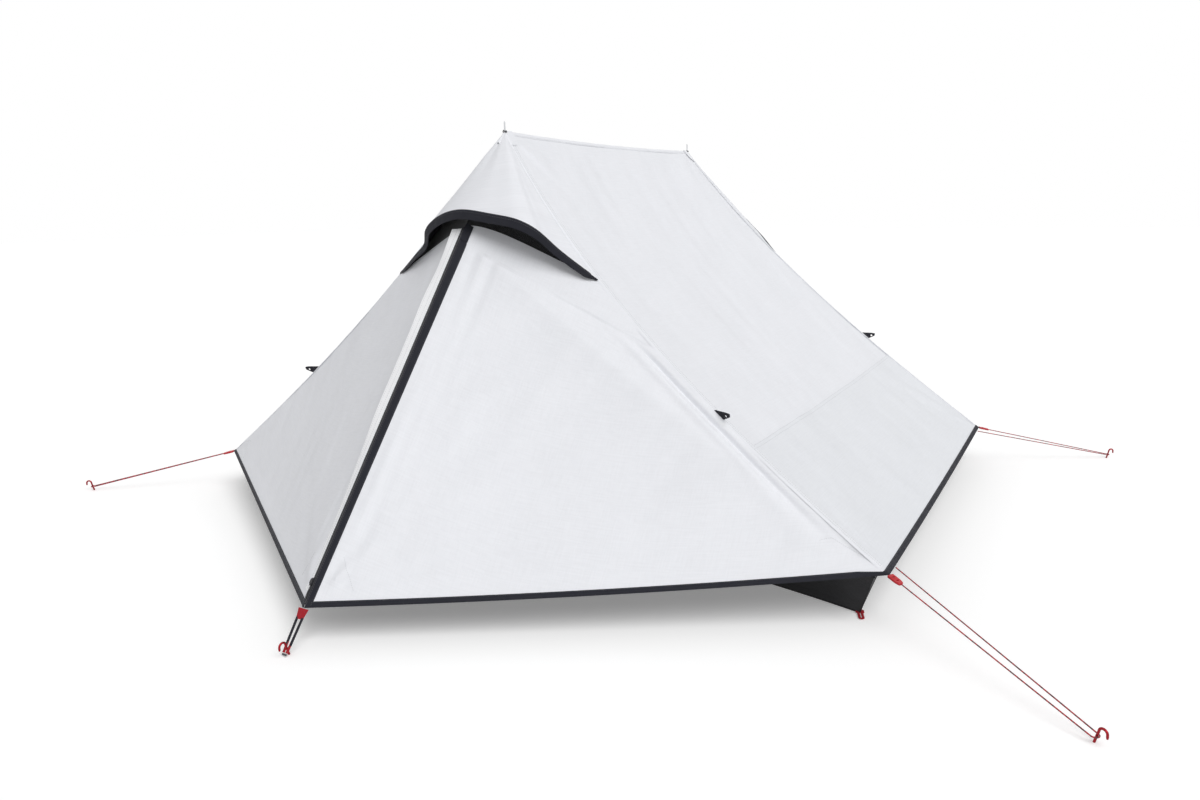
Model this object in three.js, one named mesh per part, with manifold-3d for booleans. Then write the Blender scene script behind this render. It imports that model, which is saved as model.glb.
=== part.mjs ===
// A two-person ridge tent: a white fly over two upright poles, with a zipped door at each end of the ridge
// and a dark inner tent under it. Millimetres, +Z up, the origin on the ground under the middle of the tent.
// X runs along the sleepers, Y along the ridge. Each half is built once and turned half round for the other.
import * as THREE from "three";
import { mergeVertices } from "three/addons/utils/BufferGeometryUtils.js";
import Module from "manifold-3d";

const wasm = await Module();
wasm.setup();

// Overall size of the fly
const apexHeight = 1180;
const ridgeHalfLength = 599;
const cornerHalfLength = 1139;
const cornerHalfWidth = 729;
const cornerHeight = 130;
const pointReach = 1398;
const pointHeight = 88;

// How far the edges and cloth hang off their straight lines
const seamSagAlong = 42;
const seamSagOut = 34;
const seamSagDown = 45;
const seamSagSkewShare = 0.22;
const seamStartShare = 0.1;
const ridgeSag = 9;
const endHemBow = 2;
const endHemSag = 12;
const frontHemBow = 3;
const frontHemSag = 11;
const panelDip = 12;

// Cloth and its trim
const clothThickness = 1;
const seamGap = 0.25;
const hemWidth = 20;
const hemThickness = 2;
const tapeWidth = 11;
const doorTapeHeadWidth = 24;
const doorTapeFootWidth = 15;
const tapeThickness = 2;
const tapeGap = 0.3;
const foldGap = 0.7;
const foldFootDistance = 60;

// The arched hood over each zip and the vent net under it
const hoodSeamShare = 0.345;
const ventPointShare = 0.24;
const hoodReach = 133;
const hoodRise = 185;
const hoodTopShare = 0.05;
const netTopShare = 0.14;
const hoodSteps = 20;
const hoodBindingWidth = 22;
const hoodBindingEndWidth = 9;
const hoodBindingThickness = 2;
const hoodStandOff = 4;
const ventGap = 1.6;
const netHeadDepth = 4;
const netFootDepth = 2.1;
const netFootShare = 1.012;
const netSideInset = 9;
const doorTopDrop = 42;
const doorTopWidth = 38;

// Poles, with the spike that stands through each apex
const poleDiameter = 16;
const poleFerruleDiameter = 13;
const poleJointHeight = 590;
const poleShoulderDrop = 30;
const poleFootHeight = 12;
const poleFootDiameter = 24;
const spikeDiameter = 4.4;
const spikeHeight = 29;
const poleJointGap = 0.3;
const poleFerruleLength = 60;
const apexHoleDiameter = 9;
const apexCapReach = 34;
const apexCapGap = 0.4;
const capSeamShare = 0.1;
const capHoodShare = 0.2;
const capHoodWays = 10;

// Guylines, pegs and webbing
const guyReachAlong = 425;
const guyReachOut = 255;
const cordDiameter = 3;
const cordGap = 0.3;
const cordTurnRadius = 9;
const cordPegHeight = 14;
const strandOffsetAlongHem = 55;
const lockLength = 36;
const lockWidth = 18;
const lockThickness = 6;
const lockSlotWidth = 3;
const lockSlotLength = 9;
const lockSlotShares = [
  [0.25, 1],
  [0.6, 0.8],
];
const lockGap = 0.8;
const lockWaistShare = 0.7;
const lockNoseWidth = 12;
const strandHemInset = 2;
const strandHemGap = 6;
const cordRunSteps = 6;
const cordTurnSteps = 7;
const pegDiameter = 5;
const pegHeight = 34;
const pegHookRadius = 8;
const pegHookDrop = 8;
const pegLean = 10;
const strapWidth = 27;
const strapFootWidth = 15;
const strapThickness = 2.5;
const strapSlotWidth = 11;
const strapPegDistance = 61;
const strapEndMargin = 5;
const strapFootHeight = 4;
const strapHeadLength = 22;
const strapSlotTaperShare = 0.4;
const strapHeadGap = 0.35;
const seamTabShare = 0.655;
const seamTabLength = 34;
const seamTabReach = 30;
const seamTabThickness = 2.4;
const seamTabHoleDiameter = 7;
const seamTabGap = 0.5;
const seamTabTrail = 10;
const seamTabNoseShare = 0.75;
const seamTabBackShare = 0.6;
const seamTabHoleShare = 0.5;

// Zip sliders and their pull tabs
const sliderUpZip = 56;
const sliderLength = 18;
const sliderWidth = 10;
const sliderHeight = 7;
const sliderGap = 1;
const sliderFootHeight = 3.5;
const pullLength = 26;
const pullWidth = 8;
const pullThickness = 2;
const pullHead = 0.8;
const pullClearance = 0.6;
const pullSlotLength = 14;
const pullSlotWidth = 3.5;

// The inner tent
const floorHalfLength = 1064;
const floorHalfWidth = 685;
const floorEndBow = 24;
const floorFrontBow = 135;
const floorThickness = 2;
const tubHeight = 86;
const tubCornerHeight = 112;
const tubLean = 8;
const tubCornerLean = 36;
const floorLoopWidth = 22;
const floorLoopLength = 34;
const floorLoopHole = 9;
const innerApexHeight = 1098;
const innerRidgeHalfLength = 492;
const innerSagAlong = 62;
const innerSagDown = 70;
const innerWallThickness = 1;
const innerGap = 0.5;
const rollDiameter = 46;
const rollEndDiameter = 20;
const rollGap = 0.6;
const rollTopShare = 0.12;
const rollFootShare = 0.86;
const rollTies = 1.5;
const rollWaistShare = 0.25;
const rollSteps = 16;
const rollSides = 12;
const slingShare = 0.06;
const slingWidth = 12;
const slingThickness = 2;
const slingRingWall = 4;
const slingRingGap = 3.5;
const slingNeckShare = 0.85;
const slingNeckAngle = 0.5;
const wallTopShare = 0.05;
const floorLoopTurnShare = 0.62;
const tubSteps = 8;

// How finely the curved sheets and tubes are divided
const cordSides = 8;
const roundSides = 24;
const holeSides = 12;
const curveSides = 6;
const hookSteps = 6;
const faceColumns = 8;
const faceRows = 8;
const endColumns = 8;
const endRows = 10;
const gussetColumns = 2;
const hoodRows = 4;
const netColumns = 8;
const netRows = 3;
const canopyColumns = 8;
const canopyRows = 8;
const wallColumns = 4;
const wallRows = 6;

const UP = new THREE.Vector3(0, 0, 1);
const point = (x, y, z) => new THREE.Vector3(x, y, z);
const mix = (a, b, share) => a.clone().lerp(b, share);
const direction = (from, to) => to.clone().sub(from).normalize();
const shareOf = (size, a, b) => size / a.distanceTo(b);

// Place between two points, after a length has been left out at each of them
function between(a, b, share, leftAtA, leftAtB) {
  const length = a.distanceTo(b);
  const distance = leftAtA + share * (length - leftAtA - leftAtB);
  return mix(a, b, distance / length);
}

const surfaces = {
  fly: { color: 0xe6e7ed, roughness: 0.75, metalness: 0 },
  trim: { color: 0x28292f, roughness: 0.85, metalness: 0 },
  net: { color: 0x17181b, roughness: 0.95, metalness: 0 },
  tub: { color: 0x1a1a1d, roughness: 0.6, metalness: 0 },
  webbing: { color: 0xc3162a, roughness: 0.7, metalness: 0 },
  cord: { color: 0xa82031, roughness: 0.8, metalness: 0 },
  slider: { color: 0x2b2c30, roughness: 0.45, metalness: 0.6 },
  pole: { color: 0xb9bcc0, roughness: 0.35, metalness: 0.9 },
  peg: { color: 0xc4c7cb, roughness: 0.3, metalness: 0.9 },
};

function named(name, geometry, surface) {
  const mesh = new THREE.Mesh(geometry, new THREE.MeshStandardMaterial(surfaces[surface]));
  mesh.name = name;
  return mesh;
}

// Solids from points and faces, and booleans on them
function signedVolume(points, faces) {
  let total = 0;
  for (const [a, b, c] of faces) {
    total += points[a].dot(points[b].clone().cross(points[c]));
  }
  return total;
}

function solid(points, faces) {
  const insideOut = signedVolume(points, faces) < 0;
  const index = faces.flatMap(([a, b, c]) => (insideOut ? [a, c, b] : [a, b, c]));
  const geometry = new THREE.BufferGeometry();
  geometry.setAttribute(
    "position",
    new THREE.Float32BufferAttribute(points.flatMap((p) => [p.x, p.y, p.z]), 3),
  );
  geometry.setIndex(index);
  return geometry;
}

function toManifold(geometry) {
  const bare = geometry.clone();
  bare.deleteAttribute("normal");
  bare.deleteAttribute("uv");
  const merged = mergeVertices(bare, 1e-3);
  return new wasm.Manifold(
    new wasm.Mesh({
      numProp: 3,
      vertProperties: new Float32Array(merged.attributes.position.array),
      triVerts: new Uint32Array(merged.index.array),
    }),
  );
}

function fromManifold(made) {
  const mesh = made.getMesh();
  const geometry = new THREE.BufferGeometry();
  const places = [];
  for (let i = 0; i < mesh.numVert; i += 1) {
    places.push(...mesh.vertProperties.slice(i * mesh.numProp, i * mesh.numProp + 3));
  }
  geometry.setAttribute("position", new THREE.Float32BufferAttribute(places, 3));
  geometry.setIndex(Array.from(mesh.triVerts));
  return geometry;
}

const cut = (geometry, tool) => fromManifold(toManifold(geometry).subtract(toManifold(tool)));
const join = (first, ...others) =>
  fromManifold(others.reduce((made, other) => made.add(toManifold(other)), toManifold(first)));

// Joins ring after ring of corners into one closed tube with flat ends
function rings(list) {
  const count = list[0].length;
  const points = list.flat();
  const faces = [];
  for (let i = 0; i + 1 < list.length; i += 1) {
    for (let j = 0; j < count; j += 1) {
      const a = i * count + j;
      const b = i * count + ((j + 1) % count);
      faces.push([a, b, b + count], [a, b + count, a + count]);
    }
  }
  const last = (list.length - 1) * count;
  for (let j = 1; j + 1 < count; j += 1) {
    faces.push([0, j + 1, j], [last, last + j, last + j + 1]);
  }
  return solid(points, faces);
}

// Outward normal of a surface, away from the middle of the tent
const tentMiddle = point(0, 0, 0);
function outward(surface, u, v) {
  const step = 1e-3;
  const alongU = surface(Math.min(u + step, 1), v).sub(surface(Math.max(u - step, 0), v));
  const alongV = surface(u, Math.min(v + step, 1)).sub(surface(u, Math.max(v - step, 0)));
  const normal = alongU.cross(alongV).normalize();
  return normal.dot(surface(u, v).sub(tentMiddle)) < 0 ? normal.negate() : normal;
}

// A sheet of cloth: its outer face follows the surface, lifted off it, and its thickness lies inside
function sheet(surface, columns, rows, thickness, lift = 0) {
  const list = [];
  for (let j = 0; j <= rows; j += 1) {
    const outer = [];
    const inner = [];
    for (let i = 0; i <= columns; i += 1) {
      const u = i / columns;
      const v = j / rows;
      const place = surface(u, v);
      const normal = outward(surface, u, v);
      outer.push(place.clone().addScaledVector(normal, lift));
      inner.push(place.clone().addScaledVector(normal, lift - thickness));
    }
    list.push([...outer, ...inner.reverse()]);
  }
  return sheetFromRings(list, columns);
}

// A quad between two rings, cut along one of its two diagonals
const quadFaces = (a, b, count, otherDiagonal) =>
  otherDiagonal
    ? [[a, b, a + count], [b, b + count, a + count]]
    : [[a, b, b + count], [a, b + count, a + count]];

// The two faces of a sheet are cut along the same diagonals, so that they stay a thickness apart where the
// sheet is twisted, and its two ends are strips of quads, so that no long thin cap crosses a curved edge
function sheetFromRings(list, columns) {
  const count = list[0].length;
  const points = list.flat();
  const faces = [];
  for (let i = 0; i + 1 < list.length; i += 1) {
    for (let j = 0; j < count; j += 1) {
      faces.push(...quadFaces(i * count + j, i * count + ((j + 1) % count), count, j > columns));
    }
  }
  const last = (list.length - 1) * count;
  for (let j = 0; j < columns; j += 1) {
    const over = count - 1 - j;
    faces.push([j, over, j + 1], [j + 1, over, over - 1]);
    faces.push([last + j, last + j + 1, last + over], [last + j + 1, last + over - 1, last + over]);
  }
  return solid(points, faces);
}

// A route through chosen points, with one ring of the tube on each point
class Route extends THREE.Curve {
  constructor(points) {
    super();
    this.points = points;
  }

  getPointAt(share) {
    const place = share * (this.points.length - 1);
    const from = Math.min(Math.floor(place), this.points.length - 2);
    return mix(this.points[from], this.points[from + 1], place - from);
  }

  getTangentAt(share) {
    const place = Math.round(share * (this.points.length - 1));
    const before = this.points[Math.max(place - 1, 0)];
    const after = this.points[Math.min(place + 1, this.points.length - 1)];
    return direction(before, after);
  }
}

function tube(points, diameter, sides) {
  const section = new THREE.Shape();
  for (let i = 0; i < sides; i += 1) {
    const angle = (2 * Math.PI * i) / sides;
    const x = (diameter / 2) * Math.cos(angle);
    const y = (diameter / 2) * Math.sin(angle);
    if (i) section.lineTo(x, y);
    else section.moveTo(x, y);
  }
  return new THREE.ExtrudeGeometry(section, {
    steps: points.length - 1,
    extrudePath: new Route(points),
    bevelEnabled: false,
  });
}

// Plates and blocks lie along an axis, with their broad face towards a normal
function frameAt(place, along, normal) {
  const x = along.clone().normalize();
  const y = normal.clone().cross(x).normalize();
  const z = x.clone().cross(y);
  return new THREE.Matrix4().makeBasis(x, y, z).setPosition(place);
}

const extruded = (shape, depth) =>
  new THREE.ExtrudeGeometry(shape, { depth, bevelEnabled: false, curveSegments: curveSides });

function plate(outline, thickness, holes = []) {
  const shape = new THREE.Shape(outline);
  shape.holes.push(...holes);
  return extruded(shape, thickness);
}

function slot(x, y, length, width) {
  const hole = new THREE.Path();
  const straight = (length - width) / 2;
  hole.absarc(x + straight, y, width / 2, -Math.PI / 2, Math.PI / 2);
  hole.absarc(x - straight, y, width / 2, Math.PI / 2, 1.5 * Math.PI);
  hole.closePath();
  return hole;
}

function block(length, width, height) {
  return new THREE.BoxGeometry(length, width, height).translate(0, 0, height / 2);
}

function turned(profile) {
  const geometry = new THREE.LatheGeometry(
    profile.map(([radius, height]) => new THREE.Vector2(radius, height)),
    roundSides,
  );
  return geometry.rotateX(Math.PI / 2);
}

// Key points of the fly. Front is -Y and right is +X.
const apex = (end) => point(0, end * ridgeHalfLength, apexHeight);
const corner = (side, end) => point(side * cornerHalfLength, end * cornerHalfWidth, cornerHeight);
const tip = (end) => point(0, end * pointReach, pointHeight);

// A seam from apex to corner hangs in a slack curve, deepest a little above its middle
function seam(side, end, share) {
  const slack = 4 * share * (1 - share) * (1 + seamSagSkewShare * (1 - 2 * share));
  const sag = point(-side * seamSagAlong, end * seamSagOut, -seamSagDown);
  return mix(apex(end), corner(side, end), share).addScaledVector(sag, slack);
}

const seamLength = apex(-1).distanceTo(corner(1, -1));
const hemShare = hemWidth / seamLength;

// Two sheets that meet at a ridge or seam are cut back so that their thickness fits the corner between them
function mitre(normalA, normalB, thickness) {
  const halfTurn = normalA.angleTo(normalB) / 2;
  return thickness * Math.tan(halfTurn) + seamGap;
}

const planeNormal = (a, b, c) => b.clone().sub(a).cross(c.clone().sub(a)).normalize();
const endNormal = (side) =>
  planeNormal(apex(-1), seam(side, -1, seamStartShare), apex(1)).multiplyScalar(side).setY(0).normalize();
const rightFaceNormal = planeNormal(apex(-1), tip(-1), corner(1, -1));
const leftFaceNormal = planeNormal(apex(-1), corner(-1, -1), tip(-1));
const ridgeInset = mitre(endNormal(1), endNormal(-1), clothThickness);
const seamInset = mitre(endNormal(1), rightFaceNormal, clothThickness) + seamGap;

// The end panel, from the ridge down to its hem, between the two seams of one side
function endSurface(u, share) {
  const base = between(seam(1, -1, share), seam(1, 1, share), u, seamInset, seamInset);
  const across = 4 * u * (1 - u);
  const down = share * (1 - share) * 4;
  base.z -= across * (1 - share) * ridgeSag;
  base.x -= across * share * endHemBow;
  base.z -= across * share * endHemSag;
  return base.addScaledVector(endNormal(1), -across * down * panelDip);
}

// The hem line of the front, from the point to a corner, and how it bows in and sags
function hemLine(side, share) {
  const from = tip(-1);
  const to = corner(side, -1);
  const along = direction(from, to);
  const inwardInPlan = point(-side * along.y, side * along.x, 0).normalize();
  const slack = 4 * share * (1 - share);
  const place = mix(from, to, share).addScaledVector(inwardInPlan, slack * frontHemBow);
  place.z -= slack * frontHemSag;
  return place;
}

// Where the net under the hood ends and the fixed cloth, door and zip begin
const zipTop = mix(apex(-1), tip(-1), ventPointShare);
const ventEnd = (side) => seam(side, -1, hoodSeamShare);
const ventLine = (side, share) => mix(zipTop, ventEnd(side), share);
const faceSeam = (side, share) => seam(side, -1, hoodSeamShare + (1 - hoodSeamShare) * share);
const zipLength = zipTop.distanceTo(tip(-1));

// Shares of a panel's length at which its cloth begins and its hem binding takes over
const gapShare = tapeGap / seamLength;
const topShare = ventGap / zipLength;
const endHemTop = 1 - hemShare;
const faceHemTop = 1 - hemShare / (1 - hoodSeamShare);

// Part of a surface, between two shares of its length
const stretch = (surface, from, to) => (u, v) => surface(u, from + (to - from) * v);

// Shares of the gusset's length at which its edge leaves the zip and, a row further, meets the fold line
const gussetRowShare = (faceHemTop - topShare) / faceRows;
const gussetZipShare = topShare + gussetRowShare;
const gussetFoldShare = gussetZipShare + gussetRowShare;

// The fold line that the door turns on, straight from just under the hood to the hem near the corner
const doorTop = mix(zipTop, tip(-1), doorTopDrop / zipLength);
const foldFootShare = 1 - shareOf(foldFootDistance, tip(-1), corner(1, -1));
const doorHeadFar = faceSeam(1, gussetFoldShare);
const foldTop = mix(doorTop, doorHeadFar, shareOf(doorTopWidth, doorTop, doorHeadFar));
const foldFoot = hemLine(1, foldFootShare);
const foldAt = (share) => mix(foldTop, foldFoot, share);

// Each face of the front is ruled from the zip line out to a far edge, and takes its hem's bow at its foot
const zipAt = (share) => mix(zipTop, tip(-1), share);
const doorZipAt = (share) => mix(doorTop, tip(-1), share);

function face(near, far, side, hemEndShare, normal, across, share) {
  const place = mix(near(share), far(share), across);
  const bow = hemLine(side, across * hemEndShare).sub(mix(tip(-1), far(1), across));
  place.addScaledVector(bow, share);
  const slack = 16 * across * (1 - across) * share * (1 - share);
  return place.addScaledVector(normal, -slack * panelDip);
}

const fixedFar = (share) => faceSeam(-1, share);
const doorFace = (across, share) =>
  face(doorZipAt, foldAt, 1, foldFootShare, rightFaceNormal, across, share);
const fixedFace = (across, share) => face(zipAt, fixedFar, -1, 1, leftFaceNormal, across, share);
const doorWidth = (share) => doorZipAt(share).distanceTo(foldAt(share));
const fixedWidth = (share) => zipAt(share).distanceTo(fixedFar(share));

// Share of a face's width, once a length has been left out at its zip and at its far edge
const inset = (u, width, leftAtZip, leftAtFar) =>
  (leftAtZip + u * (width - leftAtZip - leftAtFar)) / width;

const tapeStart = mitre(rightFaceNormal, leftFaceNormal, tapeThickness) + tapeGap / 2;
const clothStart = tapeStart + tapeWidth + tapeGap;
const fixedSurface = (u, share) => fixedFace(inset(u, fixedWidth(share), clothStart, seamInset), share);

// The tape on the door is the zip's broad flap, narrower at its foot
const doorTapeWidth = (share) =>
  doorTapeHeadWidth + share * (doorTapeFootWidth - doorTapeHeadWidth);
const doorTape = (u, share) =>
  doorFace((tapeStart + u * doorTapeWidth(share)) / doorWidth(share), share);
const doorClothStart = (share) => tapeStart + doorTapeWidth(share) + tapeGap;
const doorSurface = (u, share) =>
  doorFace(inset(u, doorWidth(share), doorClothStart(share), foldGap), share);
const fixedTape = (u, share) => fixedFace((tapeStart + u * tapeWidth) / fixedWidth(share), share);

// The gusset's inner edge runs down the zip, across the head of the door and then down the fold line,
// which it meets at the hem at the same pace as the door does
function gussetEdge(share) {
  if (share < gussetZipShare) return mix(zipTop, doorTop, share / gussetZipShare);
  if (share < gussetFoldShare) return mix(doorTop, foldTop, (share - gussetZipShare) / gussetRowShare);
  const lag = (1 - share) / (1 - gussetFoldShare);
  return foldAt(share - gussetFoldShare * lag * lag);
}

function gussetGap(share) {
  const run = Math.min(Math.max((share - gussetZipShare) / gussetRowShare, 0), 1);
  const start = tapeStart + tapeGap;
  return start + run * (foldGap - start);
}

// The gusset, between that edge and the seam
function gussetSurface(u, share) {
  const place = between(gussetEdge(share), faceSeam(1, share), u, gussetGap(share), seamInset);
  const bow = hemLine(1, foldFootShare + (1 - foldFootShare) * u).sub(mix(foldFoot, corner(1, -1), u));
  return place.addScaledVector(bow, share);
}

// The hem is a black binding round the foot of the fly, a little proud of the cloth on both sides
const hemProud = (hemThickness - clothThickness) / 2;

function hemSection(top, bottom, normal) {
  return [
    top.clone().addScaledVector(normal, hemProud),
    bottom.clone().addScaledVector(normal, hemProud),
    bottom.clone().addScaledVector(normal, hemProud - hemThickness),
    top.clone().addScaledVector(normal, hemProud - hemThickness),
  ];
}

const hemAlong = (surface, u, topAt) =>
  hemSection(surface(u, topAt + gapShare), surface(u, 1), outward(surface, u, 1));

function hemTurn(side, end) {
  const faceNormal = point(side * rightFaceNormal.x, -end * rightFaceNormal.y, rightFaceNormal.z);
  const bisector = faceNormal.add(endNormal(side)).normalize();
  return hemSection(seam(side, end, endHemTop + gapShare), corner(side, end), bisector);
}

const turnedRound = (surface) => (u, v) => {
  const place = surface(u, v);
  return point(-place.x, -place.y, place.z);
};

// One binding runs from the front zip round the left end to the foot of the back door's fold line
function longHem() {
  const leftEnd = turnedRound(endSurface);
  const backGusset = turnedRound(gussetSurface);
  const stations = [];
  for (let i = 0; i <= faceColumns; i += 1) {
    stations.push(hemAlong(fixedSurface, i / faceColumns, faceHemTop));
  }
  stations.push(hemTurn(-1, -1));
  for (let i = endColumns; i >= 0; i -= 1) {
    stations.push(hemAlong(leftEnd, i / endColumns, endHemTop));
  }
  stations.push(hemTurn(-1, 1));
  for (let i = gussetColumns; i >= 0; i -= 1) {
    stations.push(hemAlong(backGusset, i / gussetColumns, faceHemTop));
  }
  return rings(stations);
}

const doorHem = () =>
  sheet(stretch(doorSurface, faceHemTop + gapShare, 1), faceColumns, 1, hemThickness, hemProud);

// The hood's edge is an arch in a leaning plane between the two seams
const archShares = [
  [-1, 0],
  [-0.77, 0.33],
  [-0.61, 0.55],
  [-0.48, 0.745],
  [-0.28, 0.91],
  [0, 1],
  [0.28, 0.91],
  [0.48, 0.745],
  [0.61, 0.55],
  [0.77, 0.33],
  [1, 0],
];

function makeArch() {
  const halfWidth = ventEnd(1).x - hoodStandOff;
  const foot = ventEnd(1);
  const places = archShares.map(([across, rise]) =>
    point(
      across * halfWidth,
      foot.y - hoodStandOff - rise * hoodReach,
      foot.z + rise * hoodRise,
    ),
  );
  return new THREE.CatmullRomCurve3(places, false, "centripetal");
}
const arch = makeArch();

function hoodSurface(u, share) {
  const side = 2 * u - 1;
  const weight = Math.abs(side) ** 3;
  const nearest = Math.sign(side) || 1;
  const place = mix(apex(-1), arch.getPoint(u), share);
  const slack = seam(nearest, -1, hoodSeamShare * share).sub(mix(apex(-1), ventEnd(nearest), share));
  place.addScaledVector(slack, weight);
  place.x -= nearest * weight * (1 - share) * seamInset;
  return place;
}

// The black binding of the hood's edge hangs from the arch, upright in the middle and flat at its ends
function hoodBinding() {
  const stations = [];
  for (let i = 0; i <= hoodSteps; i += 1) {
    const u = i / hoodSteps;
    const side = 2 * u - 1;
    const along = arch.getTangent(u);
    const down = point(along.z, 0, -along.x).normalize();
    const lie = (rightFaceNormal.x * Math.abs(down.x) * -1 + rightFaceNormal.z * down.z) / -rightFaceNormal.y;
    down.y = lie * side * side;
    down.normalize();
    const out = down.clone().cross(along).normalize();
    const width = hoodBindingWidth + (hoodBindingEndWidth - hoodBindingWidth) * side * side;
    const top = arch.getPoint(u).addScaledVector(down, tapeGap + clothThickness);
    const foot = top.clone().addScaledVector(down, width);
    stations.push([
      top.clone().addScaledVector(out, hoodBindingThickness),
      foot.clone().addScaledVector(out, hoodBindingThickness),
      foot,
      top,
    ]);
  }
  return rings(stations);
}

// The vent net hangs just inside the two faces, under the hood
function netSurface(u, share) {
  const side = 2 * u - 1;
  const nearest = Math.sign(side) || 1;
  const centre = mix(apex(-1), zipTop, share);
  const place = between(centre, seam(nearest, -1, hoodSeamShare * share), Math.abs(side), 0, netSideInset);
  const depth = netHeadDepth + (netFootDepth - netHeadDepth) * share;
  return place.addScaledVector(point(0, rightFaceNormal.y, rightFaceNormal.z).normalize(), -depth);
}

// A pole in two sections, the lower one's ferrule inside the upper one's bore, and the spike on top
function lowerPole() {
  const jointTop = poleJointHeight + poleFerruleLength;
  return turned([
    [0, 0],
    [poleFootDiameter / 2, 0],
    [poleFootDiameter / 2, poleFootHeight],
    [poleDiameter / 2, poleFootHeight],
    [poleDiameter / 2, poleJointHeight],
    [poleFerruleDiameter / 2, poleJointHeight],
    [poleFerruleDiameter / 2, jointTop],
    [0, jointTop],
  ]);
}

function upperPole() {
  const bore = poleFerruleDiameter / 2 + poleJointGap;
  const foot = poleJointHeight + poleJointGap;
  const boreTop = poleJointHeight + poleFerruleLength + poleJointGap;
  const shoulder = apexHeight - poleShoulderDrop;
  const spikeTop = apexHeight + spikeHeight;
  return turned([
    [0, boreTop],
    [bore, boreTop],
    [bore, foot],
    [poleDiameter / 2, foot],
    [poleDiameter / 2, shoulder - poleDiameter / 2],
    [spikeDiameter / 2, shoulder],
    [spikeDiameter / 2, spikeTop],
    [0, spikeTop],
  ]);
}

function apexHole() {
  const radius = apexHoleDiameter / 2;
  return new THREE.CylinderGeometry(radius, radius, 2 * poleShoulderDrop, holeSides).rotateX(Math.PI / 2);
}

const drillAt = (end) => {
  const place = apex(end);
  return apexHole().translate(place.x, place.y, place.z);
};

// The reinforcing cap over an apex: a low pyramid of cloth round the spike's hole
function apexCap() {
  const along = (place) => direction(apex(-1), place);
  const toSeam = (side) => along(seam(side, -1, capSeamShare));
  const toHood = (u) => along(hoodSurface(u, capHoodShare));
  const hoodWays = [];
  for (let i = capHoodWays - 1; i > 0; i -= 1) hoodWays.push(toHood(i / capHoodWays));
  const ways = [point(0, 1, 0), toSeam(1), ...hoodWays, toSeam(-1)];
  const rise = apexCapGap / Math.cos(endNormal(1).angleTo(UP));
  const thick = clothThickness / Math.cos(endNormal(1).angleTo(UP));
  const outer = () => apexCapReach;
  const hole = (way) => apexHoleDiameter / 2 / Math.hypot(way.x, way.y);
  const ring = (reachOf, lift) =>
    ways.map((way) => apex(-1).addScaledVector(way, reachOf(way)).add(point(0, 0, lift)));
  const top = rise + thick;
  return closedRings([ring(hole, top), ring(outer, top), ring(outer, rise), ring(hole, rise)]);
}

// Rings round a hole, joined into a closed band whose last ring meets its first
function closedRings(list) {
  const count = list[0].length;
  const faces = [];
  for (let i = 0; i < list.length; i += 1) {
    const next = (i + 1) % list.length;
    for (let j = 0; j < count; j += 1) {
      const k = (j + 1) % count;
      faces.push([i * count + j, i * count + k, next * count + k]);
      faces.push([i * count + j, next * count + k, next * count + j]);
    }
  }
  return solid(list.flat(), faces);
}

// A hooked ground peg, the part of it that stands above the ground, leaning away from the tent along +X
function peg() {
  const points = [];
  const neck = pegHeight - pegHookRadius;
  const leanAt = (height) => (pegLean * height) / pegHeight;
  points.push(point(leanAt(-pegDiameter * 2), 0, -pegDiameter * 2), point(leanAt(neck), 0, neck));
  for (let i = 1; i <= hookSteps; i += 1) {
    const angle = Math.PI - (i / hookSteps) * Math.PI;
    const x = leanAt(neck) + pegHookRadius * (1 + Math.cos(angle));
    points.push(point(x, 0, neck + pegHookRadius * Math.sin(angle)));
  }
  const end = points[points.length - 1];
  points.push(point(end.x, 0, end.z - pegHookDrop));
  const earth = block(pegHeight * 2, pegHeight * 2, pegHeight).translate(0, 0, -pegHeight);
  return cut(tube(points, pegDiameter, cordSides), earth);
}

// Guylines: where each leaves its corner, the peg it goes round, and the far strand back to the end hem
const guyPeg = (side) =>
  point(side * (cornerHalfLength + guyReachAlong), -(cornerHalfWidth + guyReachOut), 0);

const pegShaftAt = (height) => (pegLean * height) / pegHeight;

function lockAxis(side) {
  const turn = guyPeg(side);
  turn.z = cordPegHeight;
  return direction(corner(side, -1), turn);
}

function cordRoute(side) {
  const lockEnd = corner(side, -1).addScaledVector(lockAxis(side), lockGap + lockLength + cordGap);
  const flat = direction(corner(side, -1).setZ(0), guyPeg(side));
  const across = point(-side * flat.y, side * flat.x, 0);
  const shaft = guyPeg(side).addScaledVector(flat, pegShaftAt(cordPegHeight));
  const middle = shaft.addScaledVector(flat, pegDiameter / 2 + cordGap + cordDiameter / 2 - cordTurnRadius);
  middle.z = cordPegHeight;
  const endSide = seam(side, 1, 1);
  const hemPlace = between(corner(side, -1), endSide, 0, strandOffsetAlongHem, 0);
  hemPlace.x -= side * strandHemInset;
  const backTurn = middle.clone().addScaledVector(across, cordTurnRadius);
  const hemStart = hemPlace.addScaledVector(direction(hemPlace, backTurn), strandHemGap);
  const points = [];
  const nearTurn = middle.clone().addScaledVector(across, -cordTurnRadius);
  for (let i = 0; i < cordRunSteps; i += 1) {
    points.push(mix(lockEnd, nearTurn, i / cordRunSteps));
  }
  for (let i = 0; i <= cordTurnSteps; i += 1) {
    const angle = (i / cordTurnSteps) * Math.PI;
    points.push(
      middle
        .clone()
        .addScaledVector(across, -cordTurnRadius * Math.cos(angle))
        .addScaledVector(flat, cordTurnRadius * Math.sin(angle)),
    );
  }
  for (let i = 1; i <= cordRunSteps; i += 1) {
    points.push(mix(backTurn, hemStart, i / cordRunSteps));
  }
  return points;
}

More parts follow.
